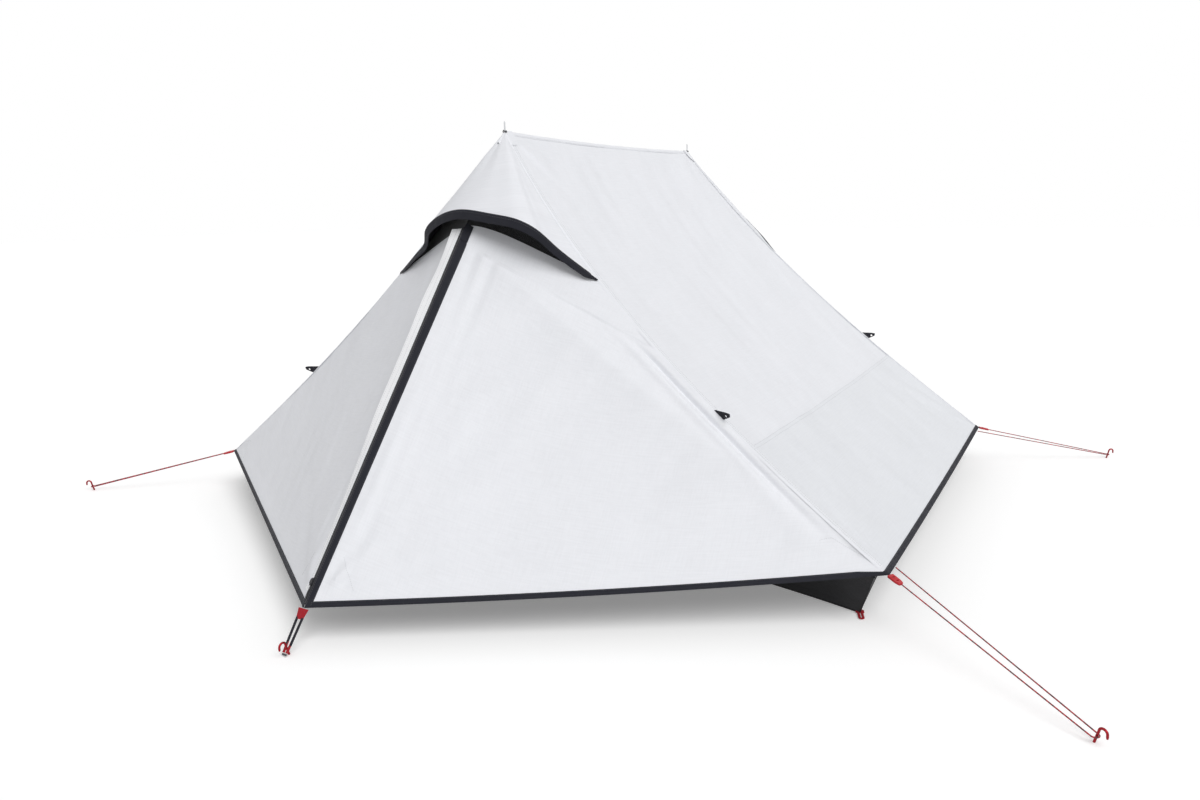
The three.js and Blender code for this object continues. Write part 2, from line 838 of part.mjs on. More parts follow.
// The red line lock at a corner, with two slots for the cord
function lineLock() {
  const half = lockWidth / 2;
  const nose = lockNoseWidth / 2;
  const outline = [
    new THREE.Vector2(0, -half),
    new THREE.Vector2(lockLength * lockWaistShare, -half),
    new THREE.Vector2(lockLength, -nose),
    new THREE.Vector2(lockLength, nose),
    new THREE.Vector2(lockLength * lockWaistShare, half),
    new THREE.Vector2(0, half),
  ];
  const holes = lockSlotShares.map(([share, lengthShare]) => {
    const hole = new THREE.Path();
    const x = lockLength * share;
    const reach = (lockSlotLength * lengthShare) / 2;
    hole.moveTo(x, -reach);
    hole.lineTo(x, reach);
    hole.lineTo(x + lockSlotWidth, reach);
    hole.lineTo(x + lockSlotWidth, -reach);
    return hole;
  });
  return plate(outline, lockThickness, holes).translate(0, 0, -lockThickness / 2);
}

// The pegging strap at the point of the fly, a long loop that the peg stands through
const strapFoot = point(0, -(pointReach + strapPegDistance), strapFootHeight);
const strapLength = tip(-1).distanceTo(strapFoot);
const strapWay = direction(tip(-1), strapFoot);
const strapNormal = point(0, strapWay.z, -strapWay.y);

// The peg's shaft bears on the far end of the strap's loop, at its lower face
function strapPegReach() {
  const bearing = strapFoot.clone().addScaledVector(strapWay, -strapEndMargin);
  bearing.addScaledVector(strapNormal, -strapThickness);
  const shaftHalfDepth = (pegDiameter / 2) * (Math.hypot(pegHeight, pegLean) / pegHeight);
  return -bearing.y - cordGap - shaftHalfDepth - pegShaftAt(bearing.z);
}

function pointStrap() {
  const top = strapWidth / 2;
  const foot = strapFootWidth / 2;
  const outline = [
    new THREE.Vector2(strapHeadGap, -top),
    new THREE.Vector2(strapLength, -foot),
    new THREE.Vector2(strapLength, foot),
    new THREE.Vector2(strapHeadGap, top),
  ];
  const hole = new THREE.Path();
  const start = strapHeadLength;
  const end = strapLength - strapEndMargin;
  const widthAt = (x) => (strapSlotWidth / 2) * (1 - (x / strapLength) * strapSlotTaperShare);
  hole.moveTo(start, -widthAt(start));
  hole.lineTo(start, widthAt(start));
  hole.lineTo(end, widthAt(end));
  hole.lineTo(end, -widthAt(end));
  return plate(outline, strapThickness, [hole]).translate(0, 0, -strapThickness);
}

// A three-cornered tab with an eyelet that stands on a seam
function seamTab() {
  const half = seamTabLength / 2;
  const outline = [
    new THREE.Vector2(-half, 0),
    new THREE.Vector2(half, 0),
    new THREE.Vector2(half + seamTabTrail, seamTabReach * seamTabNoseShare),
    new THREE.Vector2(half + seamTabTrail / 2, seamTabReach),
    new THREE.Vector2(half * seamTabBackShare, seamTabReach * seamTabNoseShare),
  ];
  const hole = new THREE.Path();
  hole.absarc(half, seamTabReach * seamTabHoleShare, seamTabHoleDiameter / 2, 0, 2 * Math.PI);
  return plate(outline, seamTabThickness, [hole]).translate(0, 0, -seamTabThickness / 2);
}

function seamTabMatrix(side) {
  const step = 0.01;
  const tangent = direction(seam(side, -1, seamTabShare - step), seam(side, -1, seamTabShare + step));
  const faceNormal = point(side * rightFaceNormal.x, rightFaceNormal.y, rightFaceNormal.z);
  const bisector = faceNormal.add(endNormal(side)).normalize();
  const reach = bisector.addScaledVector(tangent, -bisector.dot(tangent)).normalize();
  const place = seam(side, -1, seamTabShare).addScaledVector(reach, seamTabGap);
  return new THREE.Matrix4().makeBasis(tangent, reach, tangent.clone().cross(reach)).setPosition(place);
}

// The zip's slider rides on the fixed tape, beside the teeth, and its pull lies down the zip from its foot
const zipDown = direction(zipTop, tip(-1));
const sliderShare = 1 - sliderUpZip / zipLength;

function sliderMatrix() {
  const place = fixedTape(0.5, sliderShare).addScaledVector(leftFaceNormal, hemProud + sliderGap);
  return frameAt(place, zipDown, leftFaceNormal);
}

function slider() {
  const half = sliderLength / 2;
  const side = new THREE.Shape();
  side.moveTo(-half, 0);
  side.lineTo(half, 0);
  side.lineTo(half, sliderFootHeight);
  side.lineTo(0, sliderHeight);
  side.quadraticCurveTo(-half, sliderHeight, -half, sliderFootHeight / 2);
  return extruded(side, sliderWidth).translate(0, 0, -sliderWidth / 2).rotateX(Math.PI / 2);
}

function pull() {
  const half = pullWidth / 2;
  const outline = [
    new THREE.Vector2(-pullHead, -half),
    new THREE.Vector2(pullLength, -half),
    new THREE.Vector2(pullLength, half),
    new THREE.Vector2(-pullHead, half),
  ];
  const hole = slot(pullLength / 2, 0, pullSlotLength, pullSlotWidth);
  return plate(outline, pullThickness, [hole]).translate(0, 0, -pullThickness / 2);
}

// The pull's pivot, just below the slider's foot
const pullPivotAlong = sliderLength / 2 + pullClearance + pullHead;

// The inner tent hangs from the poles and stands in a bathtub floor with pegged corners
const floorCorner = (side, end) => point(side * floorHalfLength, end * floorHalfWidth, 0);
const rimHalfLength = floorHalfLength + tubCornerLean;
const rimHalfWidth = floorHalfWidth + tubCornerLean / 2;
const tubCorner = (side, end) => point(side * rimHalfLength, end * rimHalfWidth, tubCornerHeight);
const innerApex = (end) => point(0, end * innerRidgeHalfLength, innerApexHeight);
const arc = (share) => 4 * share * (1 - share);

// One side of the floor's outline, and of the tub's rim, drawn in between its corners
function floorEdge(from, to, bow, share) {
  const inward = point(-(from.x + to.x), -(from.y + to.y), 0).normalize();
  return mix(from, to, share).addScaledVector(inward, arc(share) * bow);
}

function rimEdge(from, to, bow, share) {
  const place = floorEdge(from, to, bow, share);
  place.z -= arc(share) * (tubCornerHeight - tubHeight);
  return place;
}

const rimFrontBow = floorFrontBow + tubCornerLean / 2 - tubLean;
const rimEndBow = floorEndBow + tubCornerLean - tubLean;
const frontRim = (side, share) =>
  rimEdge(tubCorner(-side, -1), tubCorner(side, -1), rimFrontBow, (1 + share) / 2);
const endRim = (share) => rimEdge(tubCorner(1, -1), tubCorner(1, 1), rimEndBow, share);

function tubLoop(edgeOf, bows) {
  const corners = [edgeOf(1, -1), edgeOf(1, 1), edgeOf(-1, 1), edgeOf(-1, -1)];
  const list = [];
  corners.forEach((from, i) => {
    const to = corners[(i + 1) % 4];
    for (let k = 0; k < tubSteps; k += 1) {
      list.push(bows(from, to, i % 2 === 0, k / tubSteps));
    }
  });
  return list;
}

function tub() {
  const rim = (from, to, isEnd, share) => rimEdge(from, to, isEnd ? rimEndBow : rimFrontBow, share);
  const edge = (from, to, isEnd, share) => floorEdge(from, to, isEnd ? floorEndBow : floorFrontBow, share);
  const foot = tubLoop(floorCorner, edge);
  const top = tubLoop(tubCorner, rim);
  const drawnIn = (place, height) => {
    const flat = place.clone().setZ(0);
    return mix(flat, point(0, 0, 0), innerWallThickness / flat.length()).setZ(height);
  };
  const topInner = top.map((place) => drawnIn(place, place.z));
  const footInner = foot.map((place) => drawnIn(place, floorThickness));
  const count = foot.length;
  const points = [...foot, ...top, ...topInner, ...footInner, point(0, 0, 0), point(0, 0, floorThickness)];
  const faces = [];
  for (let j = 0; j < count; j += 1) {
    const k = (j + 1) % count;
    for (let ring = 0; ring < 3; ring += 1) {
      faces.push(...quadFaces(ring * count + j, ring * count + k, count, ring === 2));
    }
    faces.push([k, j, 4 * count], [3 * count + j, 3 * count + k, 4 * count + 1]);
  }
  const loops = [];
  for (const side of [-1, 1]) {
    for (const end of [-1, 1]) loops.push(floorLoop(side, end));
  }
  return join(solid(points, faces), ...loops);
}

// A pegging loop sewn under a corner of the floor
function floorLoop(side, end) {
  const half = floorLoopWidth / 2;
  const outline = [
    new THREE.Vector2(-floorLoopLength, -half),
    new THREE.Vector2(floorLoopLength, -half),
    new THREE.Vector2(floorLoopLength, half),
    new THREE.Vector2(-floorLoopLength, half),
  ];
  const hole = new THREE.Path();
  hole.absarc(floorLoopLength - half, 0, floorLoopHole / 2, 0, 2 * Math.PI);
  const out = point(side, end * floorLoopTurnShare, 0).normalize();
  const place = floorCorner(side, end);
  return plate(outline, floorThickness, [hole]).applyMatrix4(frameAt(place, out, UP));
}

function innerSeam(side, end, share) {
  const sag = point(-side * innerSagAlong, 0, -innerSagDown);
  return mix(innerApex(end), tubCorner(side, end), share).addScaledVector(sag, arc(share));
}

const canopyNormal = planeNormal(innerApex(-1), innerSeam(1, -1, 0.5), innerApex(1));
const wallNormal = point(0, -1, 0);
const innerInset = mitre(canopyNormal, wallNormal, innerWallThickness) + innerGap;
const otherCanopyNormal = point(-canopyNormal.x, 0, canopyNormal.z);
const innerRidgeInset = mitre(canopyNormal, otherCanopyNormal, innerWallThickness) + innerGap;
const innerLength = innerApex(-1).distanceTo(tubCorner(1, -1));
const rimGap = innerWallThickness + seamGap;

function canopySurface(u, share) {
  const place = between(innerSeam(1, -1, share), innerSeam(1, 1, share), u, innerInset, innerInset);
  const rim = endRim(u).sub(mix(tubCorner(1, -1), tubCorner(1, 1), u));
  place.addScaledVector(rim, share * share);
  place.z += rimGap * share;
  return place;
}

// The net wall left of the inner door
function wallSurface(u, share) {
  const centre = mix(innerApex(-1), frontRim(-1, 0), share);
  const place = between(centre, innerSeam(-1, -1, share), u, 0, innerInset);
  const rim = frontRim(-1, u).sub(mix(frontRim(-1, 0), tubCorner(-1, -1), u));
  place.addScaledVector(rim, share * share);
  place.z += rimGap * share;
  return place;
}

// A flat sling from the wall's head with a ring round the pole
function wallSling() {
  const from = wallSurface(0.5, slingShare);
  const to = point(0, -ridgeHalfLength, innerApexHeight);
  const length = from.distanceTo(to);
  const half = slingWidth / 2;
  const ringRadius = poleDiameter / 2 + slingRingWall;
  const outline = new THREE.Shape();
  outline.moveTo(0, -half);
  outline.lineTo(length - ringRadius * slingNeckShare, -half);
  outline.absarc(length, 0, ringRadius, Math.PI + slingNeckAngle, Math.PI - slingNeckAngle, false);
  outline.lineTo(0, half);
  const hole = new THREE.Path();
  hole.absarc(length, 0, poleDiameter / 2 + slingRingGap, 0, 2 * Math.PI);
  outline.holes.push(hole);
  const made = extruded(outline, slingThickness);
  const along = direction(from, to);
  const across = point(1, 0, 0);
  return made.applyMatrix4(frameAt(from, along, across.cross(along).multiplyScalar(-1)));
}

// The inner door, rolled up and tied along the inner seam beside the doorway
function rolledDoor() {
  const stations = [];
  for (let i = 0; i <= rollSteps; i += 1) {
    const run = i / rollSteps;
    const share = rollTopShare + run * (rollFootShare - rollTopShare);
    const tangent = direction(innerSeam(1, -1, share - gapShare), innerSeam(1, -1, share + gapShare));
    const inwardDown = point(tangent.z, 0, -tangent.x).normalize();
    const ties = 1 - rollWaistShare * Math.cos(2 * Math.PI * rollTies * run) ** 8;
    const radius = (rollEndDiameter + (rollDiameter - rollEndDiameter) * Math.sin(Math.PI * run)) / 2;
    const drop = rollDiameter / 2 + rollGap;
    const middle = innerSeam(1, -1, share).addScaledVector(inwardDown, drop);
    const side = point(0, -1, 0);
    const over = side.clone().cross(tangent).normalize();
    const ring = [];
    for (let k = 0; k < rollSides; k += 1) {
      const angle = (2 * Math.PI * k) / rollSides;
      ring.push(
        middle
          .clone()
          .addScaledVector(side, radius * ties * Math.cos(angle))
          .addScaledVector(over, radius * ties * Math.sin(angle)),
      );
    }
    stations.push(ring);
  }
  return rings(stations);
}

// One half of the tent: the front, the right end panel and canopy, and the hem of the left end
function half(front, right, left) {
  const group = new THREE.Group();
  const add = (name, geometry, surface) => {
    const mesh = named(name, geometry, surface);
    group.add(mesh);
    return mesh;
  };
  const place = (mesh, matrix) => mesh.applyMatrix4(matrix);

  const endTop = ridgeInset / seamLength;
  const endPanel = sheet(stretch(endSurface, endTop, endHemTop), endColumns, endRows, clothThickness);
  add(right + "_end_panel", cut(cut(endPanel, drillAt(-1)), drillAt(1)), "fly");
  add(left + "_hem", longHem(), "trim");

  const hood = sheet(stretch(hoodSurface, hoodTopShare, 1), hoodSteps, hoodRows, clothThickness);
  add(front + "_hood", cut(hood, drillAt(-1)), "fly");
  add(front + "_hood_binding", hoodBinding(), "trim");
  const net = stretch(netSurface, netTopShare, netFootShare);
  add(front + "_vent_net", sheet(net, netColumns, netRows, clothThickness), "net");
  add(front + "_apex_cap", apexCap(), "fly");

  const faceCloth = (surface, columns) =>
    sheet(stretch(surface, topShare, faceHemTop), columns, faceRows, clothThickness);
  const zipTape = (surface) => sheet(stretch(surface, topShare, 1), 1, faceRows, tapeThickness, hemProud);
  add(front + "_fixed_panel", faceCloth(fixedSurface, faceColumns), "fly");
  add(front + "_door_gusset", faceCloth(gussetSurface, gussetColumns), "fly");
  add(front + "_zip_fixed_tape", zipTape(fixedTape), "trim");
  add(front + "_door", faceCloth(doorSurface, faceColumns), "fly");
  add(front + "_door_hem", doorHem(), "trim");
  add(front + "_zip_door_tape", zipTape(doorTape), "trim");
  place(add(front + "_zip_slider", slider(), "slider"), sliderMatrix());
  const pullMatrix = sliderMatrix().multiply(
    new THREE.Matrix4().makeTranslation(pullPivotAlong, 0, pullThickness / 2),
  );
  place(add(front + "_zip_pull", pull(), "slider"), pullMatrix);

  for (const [sideName, side] of [
    [right, 1],
    [left, -1],
  ]) {
    const at = front + "_" + sideName;
    place(add(at + "_seam_tab", seamTab(), "trim"), seamTabMatrix(side));
    const axis = lockAxis(side);
    const lockPlace = corner(side, -1).addScaledVector(axis, lockGap);
    const lockUp = UP.clone().addScaledVector(axis, -axis.z).normalize();
    place(add(at + "_line_lock", lineLock(), "webbing"), frameAt(lockPlace, axis, lockUp));
    add(at + "_guyline", tube(cordRoute(side), cordDiameter, cordSides), "cord");
    const flat = direction(corner(side, -1).setZ(0), guyPeg(side));
    place(add(at + "_guy_peg", peg(), "peg"), frameAt(guyPeg(side), flat, UP));
  }
  place(add(front + "_point_strap", pointStrap(), "webbing"), frameAt(tip(-1), strapWay, strapNormal));
  place(add(front + "_point_peg", peg(), "peg"), frameAt(point(0, -strapPegReach(), 0), point(0, -1, 0), UP));

  const poleAt = new THREE.Matrix4().makeTranslation(0, -ridgeHalfLength, 0);
  place(add(front + "_pole_lower", lowerPole(), "pole"), poleAt);
  place(add(front + "_pole_upper", upperPole(), "pole"), poleAt);

  const innerTop = innerRidgeInset / innerLength;
  const canopy = sheet(stretch(canopySurface, innerTop, 1), canopyColumns, canopyRows, innerWallThickness);
  add(right + "_inner_canopy", canopy, "net");
  const wall = sheet(stretch(wallSurface, wallTopShare, 1), wallColumns, wallRows, innerWallThickness);
  add(front + "_inner_wall", join(wall, wallSling()), "net");
  add(front + "_inner_door_roll", rolledDoor(), "net");
  return group;
}

const tent = new THREE.Group();
const backHalf = half("back", "left", "right");
backHalf.rotation.z = Math.PI;
tent.add(half("front", "right", "left"), backHalf, named("inner_tub", tub(), "tub"));

export default tent;
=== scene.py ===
import math

import bpy
import numpy as np
from mathutils import Matrix, Vector


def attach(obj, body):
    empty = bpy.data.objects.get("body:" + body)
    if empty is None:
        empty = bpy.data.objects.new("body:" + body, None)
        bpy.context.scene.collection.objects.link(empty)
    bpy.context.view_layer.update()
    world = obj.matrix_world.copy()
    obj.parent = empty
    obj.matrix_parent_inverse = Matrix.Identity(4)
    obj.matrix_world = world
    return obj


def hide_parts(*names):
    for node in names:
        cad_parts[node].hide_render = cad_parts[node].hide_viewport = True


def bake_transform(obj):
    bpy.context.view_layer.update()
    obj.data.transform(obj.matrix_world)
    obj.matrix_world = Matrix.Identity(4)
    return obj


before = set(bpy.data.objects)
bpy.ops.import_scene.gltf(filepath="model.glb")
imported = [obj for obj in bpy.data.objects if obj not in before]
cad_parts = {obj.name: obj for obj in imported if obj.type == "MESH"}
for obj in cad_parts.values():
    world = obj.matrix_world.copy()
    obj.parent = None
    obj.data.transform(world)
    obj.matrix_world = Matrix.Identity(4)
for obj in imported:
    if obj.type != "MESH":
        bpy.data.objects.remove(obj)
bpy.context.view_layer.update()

# The photograph's frame and the camera that took it
PHOTO_WIDTH = 1200
PHOTO_HEIGHT = 800
PRINCIPAL_X = 640
PRINCIPAL_Y = 340
FOCAL_PIXELS = 862.5
CAMERA_PLACE = (1.5398, -2.6219, 0.9689)
CAMERA_YAW = 28.771
CAMERA_PITCH = 8.91
CAMERA_ROLL = -0.776

# Overall size of the fly
APEX_HEIGHT = 1.180
RIDGE_HALF = 0.599
CORNER_X = 1.139
CORNER_Y = 0.729
CORNER_HEIGHT = 0.130
POINT_REACH = 1.398
POINT_HEIGHT = 0.088

# How far edges and cloth hang off their straight lines
SEAM_SAG = (0.042, 0.034, 0.045)
SEAM_SKEW = 0.22
RIDGE_SAG = 0.009
END_BOW = 0.002
END_SAG = 0.012
FRONT_BOW = 0.003
FRONT_SAG = 0.011
PANEL_DIP = 0.012

# Cloth and trim
CLOTH = 0.0006
HEM_WIDTH = 0.020
HEM_SEEN = 0.015
HEM_THICK = 0.0024
SEAM_WIDTH = 0.012
SEAM_TURN = 0.009
FELL_THICK = 0.0007
FIXED_TAPE = 0.011
DOOR_TAPE_HEAD = 0.024
DOOR_TAPE_FOOT = 0.015
TAPE_START = 0.0013
TAPE_THICK = 0.0016
TAPE_LIFT = 0.0009
FACING_WIDTH = 0.026
FACING_THICK = 0.0012
FACING_LIFT = 0.014

# Hood, vent and door
HOOD_SEAM = 0.345
VENT_POINT = 0.24
HOOD_REACH = 0.133
HOOD_RISE = 0.185
HOOD_STAND_OFF = 0.004
HOOD_TOP = 0.03
NET_TOP = 0.14
NET_FOOT = 1.012
NET_HEAD_DEPTH = 0.004
NET_FOOT_DEPTH = 0.0021
NET_INSET = 0.009
NET_THICK = 0.0005
VENT_RISE = 0.023
VENT_RISE_LEFT = 0.011
BINDING_WIDTH = 0.022
BINDING_END = 0.015
BINDING_THICK = 0.0024
BINDING_WRAP_ROWS = {"front": 1, "back": 4}
DOOR_DROP = 0.042
DOOR_HEAD_WIDTH = 0.038
FOLD_FOOT = 0.060
GUSSET_ROWS = 8
VENT_GAP = 0.0016
CLOTH_END = 0.997

# Guylines, poles and inner tent
CORD = 0.003
GUY_PEG = (1.564, -0.984)
GUY_PEG_HEIGHT = 0.014
GUY_TURN = 0.009
GUY_TURN_STEPS = 7
GUY_RUN_STEPS = 6
GUY_BACK = 0.0005824
LOCK_GAP = 0.0008
LOCK_LENGTH = 0.036
LOCK_CORD_GAP = 0.0003
STRAND_INSET = 0.002
STRAND_OFFSET = 0.055
STRAND_GAP = 0.006
POLE = 0.008
SPIKE = 0.0022
SPIKE_HEIGHT = 0.029
FLOOR_X = 1.064
FLOOR_Y = 0.685
FLOOR_END_BOW = 0.024
FLOOR_FRONT_BOW = 0.135
TUB_HEIGHT = 0.086
TUB_CORNER_HEIGHT = 0.112
TUB_LEAN = 0.008
TUB_CORNER_LEAN = 0.036
TUB_THICK = 0.0008
FLOOR_LIFT = 0.0022
INNER_APEX = 1.098
INNER_RIDGE = 0.492
INNER_SAG = (0.062, 0.0, 0.070)
INNER_THICK = 0.0006

ENDS = (("front", "right", "left", 1), ("back", "left", "right", -1))


# Small vector helpers on arrays whose last axis is x, y, z
def vec(*values):
    return np.array(values, float)


def unit(a):
    return a / np.maximum(length(a)[..., None], 1e-12)


def length(a):
    return np.linalg.norm(a, axis=-1)


def mix(a, b, share):
    return a + (b - a) * np.asarray(share, float)[..., None]


def between(a, b, share, left_a, left_b):
    """A share of the way from a to b, between clearances at both."""
    whole = length(b - a)
    return mix(a, b, (left_a + share * (whole - left_a - left_b)) / whole)


def smooth(a, low, high):
    t = np.clip((a - low) / (high - low), 0, 1)
    return t * t * (3 - 2 * t)


def belly(share):
    """Nothing at both ends of a span, and 1 at its middle."""
    return 4 * share * (1 - share)


def hump(a, middle, width):
    return np.exp(-(((a - middle) / width) ** 2))


def runs(line):
    """Distances along a line of points."""
    return np.concatenate([[0], np.cumsum(length(np.diff(line, axis=0)))])


def round_line(middle, x_axis, y_axis, radius, count, start=0.0, stop=2 * math.pi):
    """Points of a circle or an arc in the plane of two axes."""
    angles = np.linspace(start, stop, count)[:, None]
    return middle + (np.cos(angles) * x_axis + np.sin(angles) * y_axis) * radius


X = vec(1, 0, 0)
Y = vec(0, 1, 0)
UP = vec(0, 0, 1)


def placed(made):
    bpy.context.scene.collection.objects.link(made)
    return made


# The fly's lines, for the front half; the back half is the same turned half round
def apex(end=-1):
    return vec(0, end * RIDGE_HALF, APEX_HEIGHT)


def corner(side, end=-1):
    return vec(side * CORNER_X, end * CORNER_Y, CORNER_HEIGHT)


TIP = vec(0, -POINT_REACH, POINT_HEIGHT)


def seam(side, end, share):
    share = np.asarray(share, float)
    slack = belly(share) * (1 + SEAM_SKEW * (1 - 2 * share))
    sag = vec(-side * SEAM_SAG[0], end * SEAM_SAG[1], -SEAM_SAG[2])
    return mix(apex(end), corner(side, end), share) + slack[..., None] * sag


def guy_axis(side):
    """The way of the line lock and of its cord, from the corner to the peg."""
    return unit(vec(side * GUY_PEG[0], GUY_PEG[1], GUY_PEG_HEIGHT) - corner(side))


def guy_route():
    """From the line lock out to the peg, half round it and back to the end hem, to a tenth of a millimetre."""
    flat = unit((vec(*GUY_PEG, 0) - corner(1)) * (1, 1, 0))
    middle = vec(*GUY_PEG, GUY_PEG_HEIGHT) - flat * GUY_BACK
    half_turn = round_line(middle, vec(flat[1], -flat[0], 0), flat, GUY_TURN, GUY_TURN_STEPS + 1, 0, math.pi)
    lock = corner(1) + guy_axis(1) * (LOCK_GAP + LOCK_LENGTH + LOCK_CORD_GAP)
    hem = corner(1) + vec(-STRAND_INSET, STRAND_OFFSET, 0)
    hem = hem + unit(half_turn[-1] - hem) * STRAND_GAP
    out = mix(lock, half_turn[0], np.arange(GUY_RUN_STEPS) / GUY_RUN_STEPS)
    back = mix(hem, half_turn[-1], np.arange(GUY_RUN_STEPS)[::-1] / GUY_RUN_STEPS)
    return np.round(np.concatenate([out, half_turn, back]), 4).tolist()


# The camera comes first, then the guylines
def make_camera():
    data = bpy.data.cameras.new("photo_camera")
    data.sensor_width = 36
    data.lens = FOCAL_PIXELS / PHOTO_WIDTH * data.sensor_width
    data.shift_x = (PHOTO_WIDTH / 2 - PRINCIPAL_X) / PHOTO_WIDTH
    data.shift_y = (PRINCIPAL_Y - PHOTO_HEIGHT / 2) / PHOTO_WIDTH
    camera = placed(bpy.data.objects.new("photo_camera", data))
    yaw = Matrix.Rotation(math.radians(CAMERA_YAW), 4, "Z")
    pitch = Matrix.Rotation(math.radians(90 - CAMERA_PITCH), 4, "X")
    roll = Matrix.Rotation(math.radians(CAMERA_ROLL), 4, "Z")
    camera.matrix_world = Matrix.Translation(CAMERA_PLACE) @ yaw @ pitch @ roll
    bpy.context.scene.camera = camera


make_camera()


# Node materials
MOST_OF_NOISE = (0.3, 0.7)
DIAGONAL = math.radians(45)
HERRINGBONE = math.radians(38)


def times(color, factor, plus=0.0):
    return tuple(c * factor + plus for c in color)


def add_node(tree, kind, inputs, output, **settings):
    """The output of a new node, with each input linked or set."""
    made = tree.nodes.new(kind)
    for key, value in settings.items():
        setattr(made, key, value)
    for key, value in inputs.items():
        if isinstance(value, bpy.types.NodeSocket):
            tree.links.new(value, made.inputs[key])
        else:
            made.inputs[key].default_value = value
    return made.outputs[output]


class Nodes:
    """A material's node tree, with short calls for what the materials here use."""

    def __init__(self, name, color, roughness, **sockets):
        self.material = bpy.data.materials.new(name)
        self.material.use_nodes = True
        self.tree = self.material.node_tree
        self.shader = self.tree.nodes["Principled BSDF"]
        self.shader.inputs["Base Color"].default_value = (*color, 1)
        self.shader.inputs["Roughness"].default_value = roughness
        for socket, value in sockets.items():
            self.shader.inputs[socket.replace("_", " ")].default_value = value
        self.height = None

    def shade(self, socket, source):
        self.tree.links.new(source, self.shader.inputs[socket])

    def place(self, kind):
        return add_node(self.tree, "ShaderNodeTexCoord", {}, kind)

    def scaled(self, source, scale=(1, 1, 1), turn=0):
        inputs = {"Vector": source, "Scale": scale, "Rotation": (0, 0, turn)}
        return add_node(self.tree, "ShaderNodeMapping", inputs, "Vector")

    def noise(self, source, scale, detail=4, roughness=0.5):
        inputs = {"Vector": source, "Scale": scale, "Detail": detail, "Roughness": roughness}
        return add_node(self.tree, "ShaderNodeTexNoise", inputs, "Fac")

    def wave(self, source, scale, direction="X", distortion=0.0):
        inputs = {"Vector": source, "Scale": scale, "Distortion": distortion, "Detail Scale": 2}
        return add_node(self.tree, "ShaderNodeTexWave", inputs, "Fac", bands_direction=direction)

    def math(self, operation, a, b):
        return add_node(self.tree, "ShaderNodeMath", {0: a, 1: b}, "Value", operation=operation)

    def ramp(self, source, low, high, out_low, out_high):
        inputs = {"Value": source, "From Min": low, "From Max": high, "To Min": out_low, "To Max": out_high}
        return add_node(self.tree, "ShaderNodeMapRange", inputs, "Result")

    def blend(self, factor, *colors):
        a, b = (c if isinstance(c, bpy.types.NodeSocket) else (*c, 1) for c in colors)
        return add_node(self.tree, "ShaderNodeMix", {0: factor, 6: a, 7: b}, 2, data_type="RGBA")

    def bump(self, source, distance, strength=1.0):
        inputs = {"Distance": distance, "Strength": strength, "Height": source}
        if self.height is not None:
            inputs["Normal"] = self.height
        self.height = add_node(self.tree, "ShaderNodeBump", inputs, "Normal")
        self.shade("Normal", self.height)

    def tone(self, source, a, b, low=MOST_OF_NOISE[0], high=MOST_OF_NOISE[1], most=1):
        """The surface's colour goes from a to b as the source goes from low to high."""
        self.shade("Base Color", self.blend(self.ramp(source, low, high, 0, most), a, b))

    def rough(self, source, low, high):
        self.shade("Roughness", self.ramp(source, *MOST_OF_NOISE, low, high))

    def weave(self, uv, per_metre, depth):
        """Two sets of threads, crossing."""
        threads = [self.wave(uv, per_metre, way, 0.6) for way in "XY"]
        self.bump(self.math("MAXIMUM", *threads), depth, 0.5)


def fly_material(name, color):
    n = Nodes(name, color, 0.62, Sheen_Weight=0.12, Sheen_Roughness=0.4, Specular_IOR_Level=0.35)
    uv = n.place("UV")
    slub = n.noise(n.scaled(uv, (260, 18, 1)), 1, 3)
    warp = n.noise(n.scaled(uv, (16, 240, 1)), 1, 3)
    cloud = n.noise(uv, 5, 3, 0.55)
    threads = n.math("ADD", n.math("MULTIPLY", slub, 0.35), n.math("MULTIPLY", warp, 0.35))
    shade = n.math("ADD", threads, n.math("MULTIPLY", cloud, 0.3))
    n.tone(shade, times(color, 0.955), times(color, 1.03), 0.35, 0.65)
    n.rough(slub, 0.56, 0.7)
    n.bump(n.noise(uv, 38, 5, 0.6), 0.0016, 0.55)
    n.bump(n.noise(uv, 9, 3, 0.5), 0.006, 0.35)
    n.bump(slub, 0.0003, 0.5)
    n.weave(uv, 260, 0.00012)
    return n.material


def tape_material(name, color, rib=420):
    n = Nodes(name, color, 0.75, Sheen_Weight=0.04, Sheen_Roughness=0.45, Specular_IOR_Level=0.22)
    uv = n.place("UV")
    ribs = n.wave(uv, rib, "X", 0.4)
    herring = n.wave(n.scaled(uv, turn=HERRINGBONE), rib * 0.7, "Y", 0.5)
    worn = n.noise(uv, 60, 4)
    light = n.math("MULTIPLY", ribs, n.ramp(worn, 0.35, 0.75, 0.15, 0.75))
    n.shade("Base Color", n.blend(light, color, times(color, 1.7, 0.003)))
    n.rough(worn, 0.6, 0.82)
    n.bump(n.noise(uv, 90, 3), 0.0012, 0.4)
    n.bump(n.math("ADD", ribs, herring), 0.00025, 0.6)
    return n.material


def net_material():
    n = Nodes("inner_net_mesh", (0.012, 0.012, 0.014), 0.8, Sheen_Weight=0.3)
    uv = n.place("UV")
    slanted = n.scaled(uv, turn=DIAGONAL)
    threads = n.math("MAXIMUM", n.wave(slanted, 330, "X"), n.wave(slanted, 330, "Y"))
    n.tone(n.noise(uv, 14, 3), (0.009, 0.009, 0.011), (0.022, 0.022, 0.026))
    n.bump(threads, 0.0005, 0.8)
    n.shade("Alpha", n.ramp(threads, 0.45, 0.75, 0.55, 1.0))
    return n.material


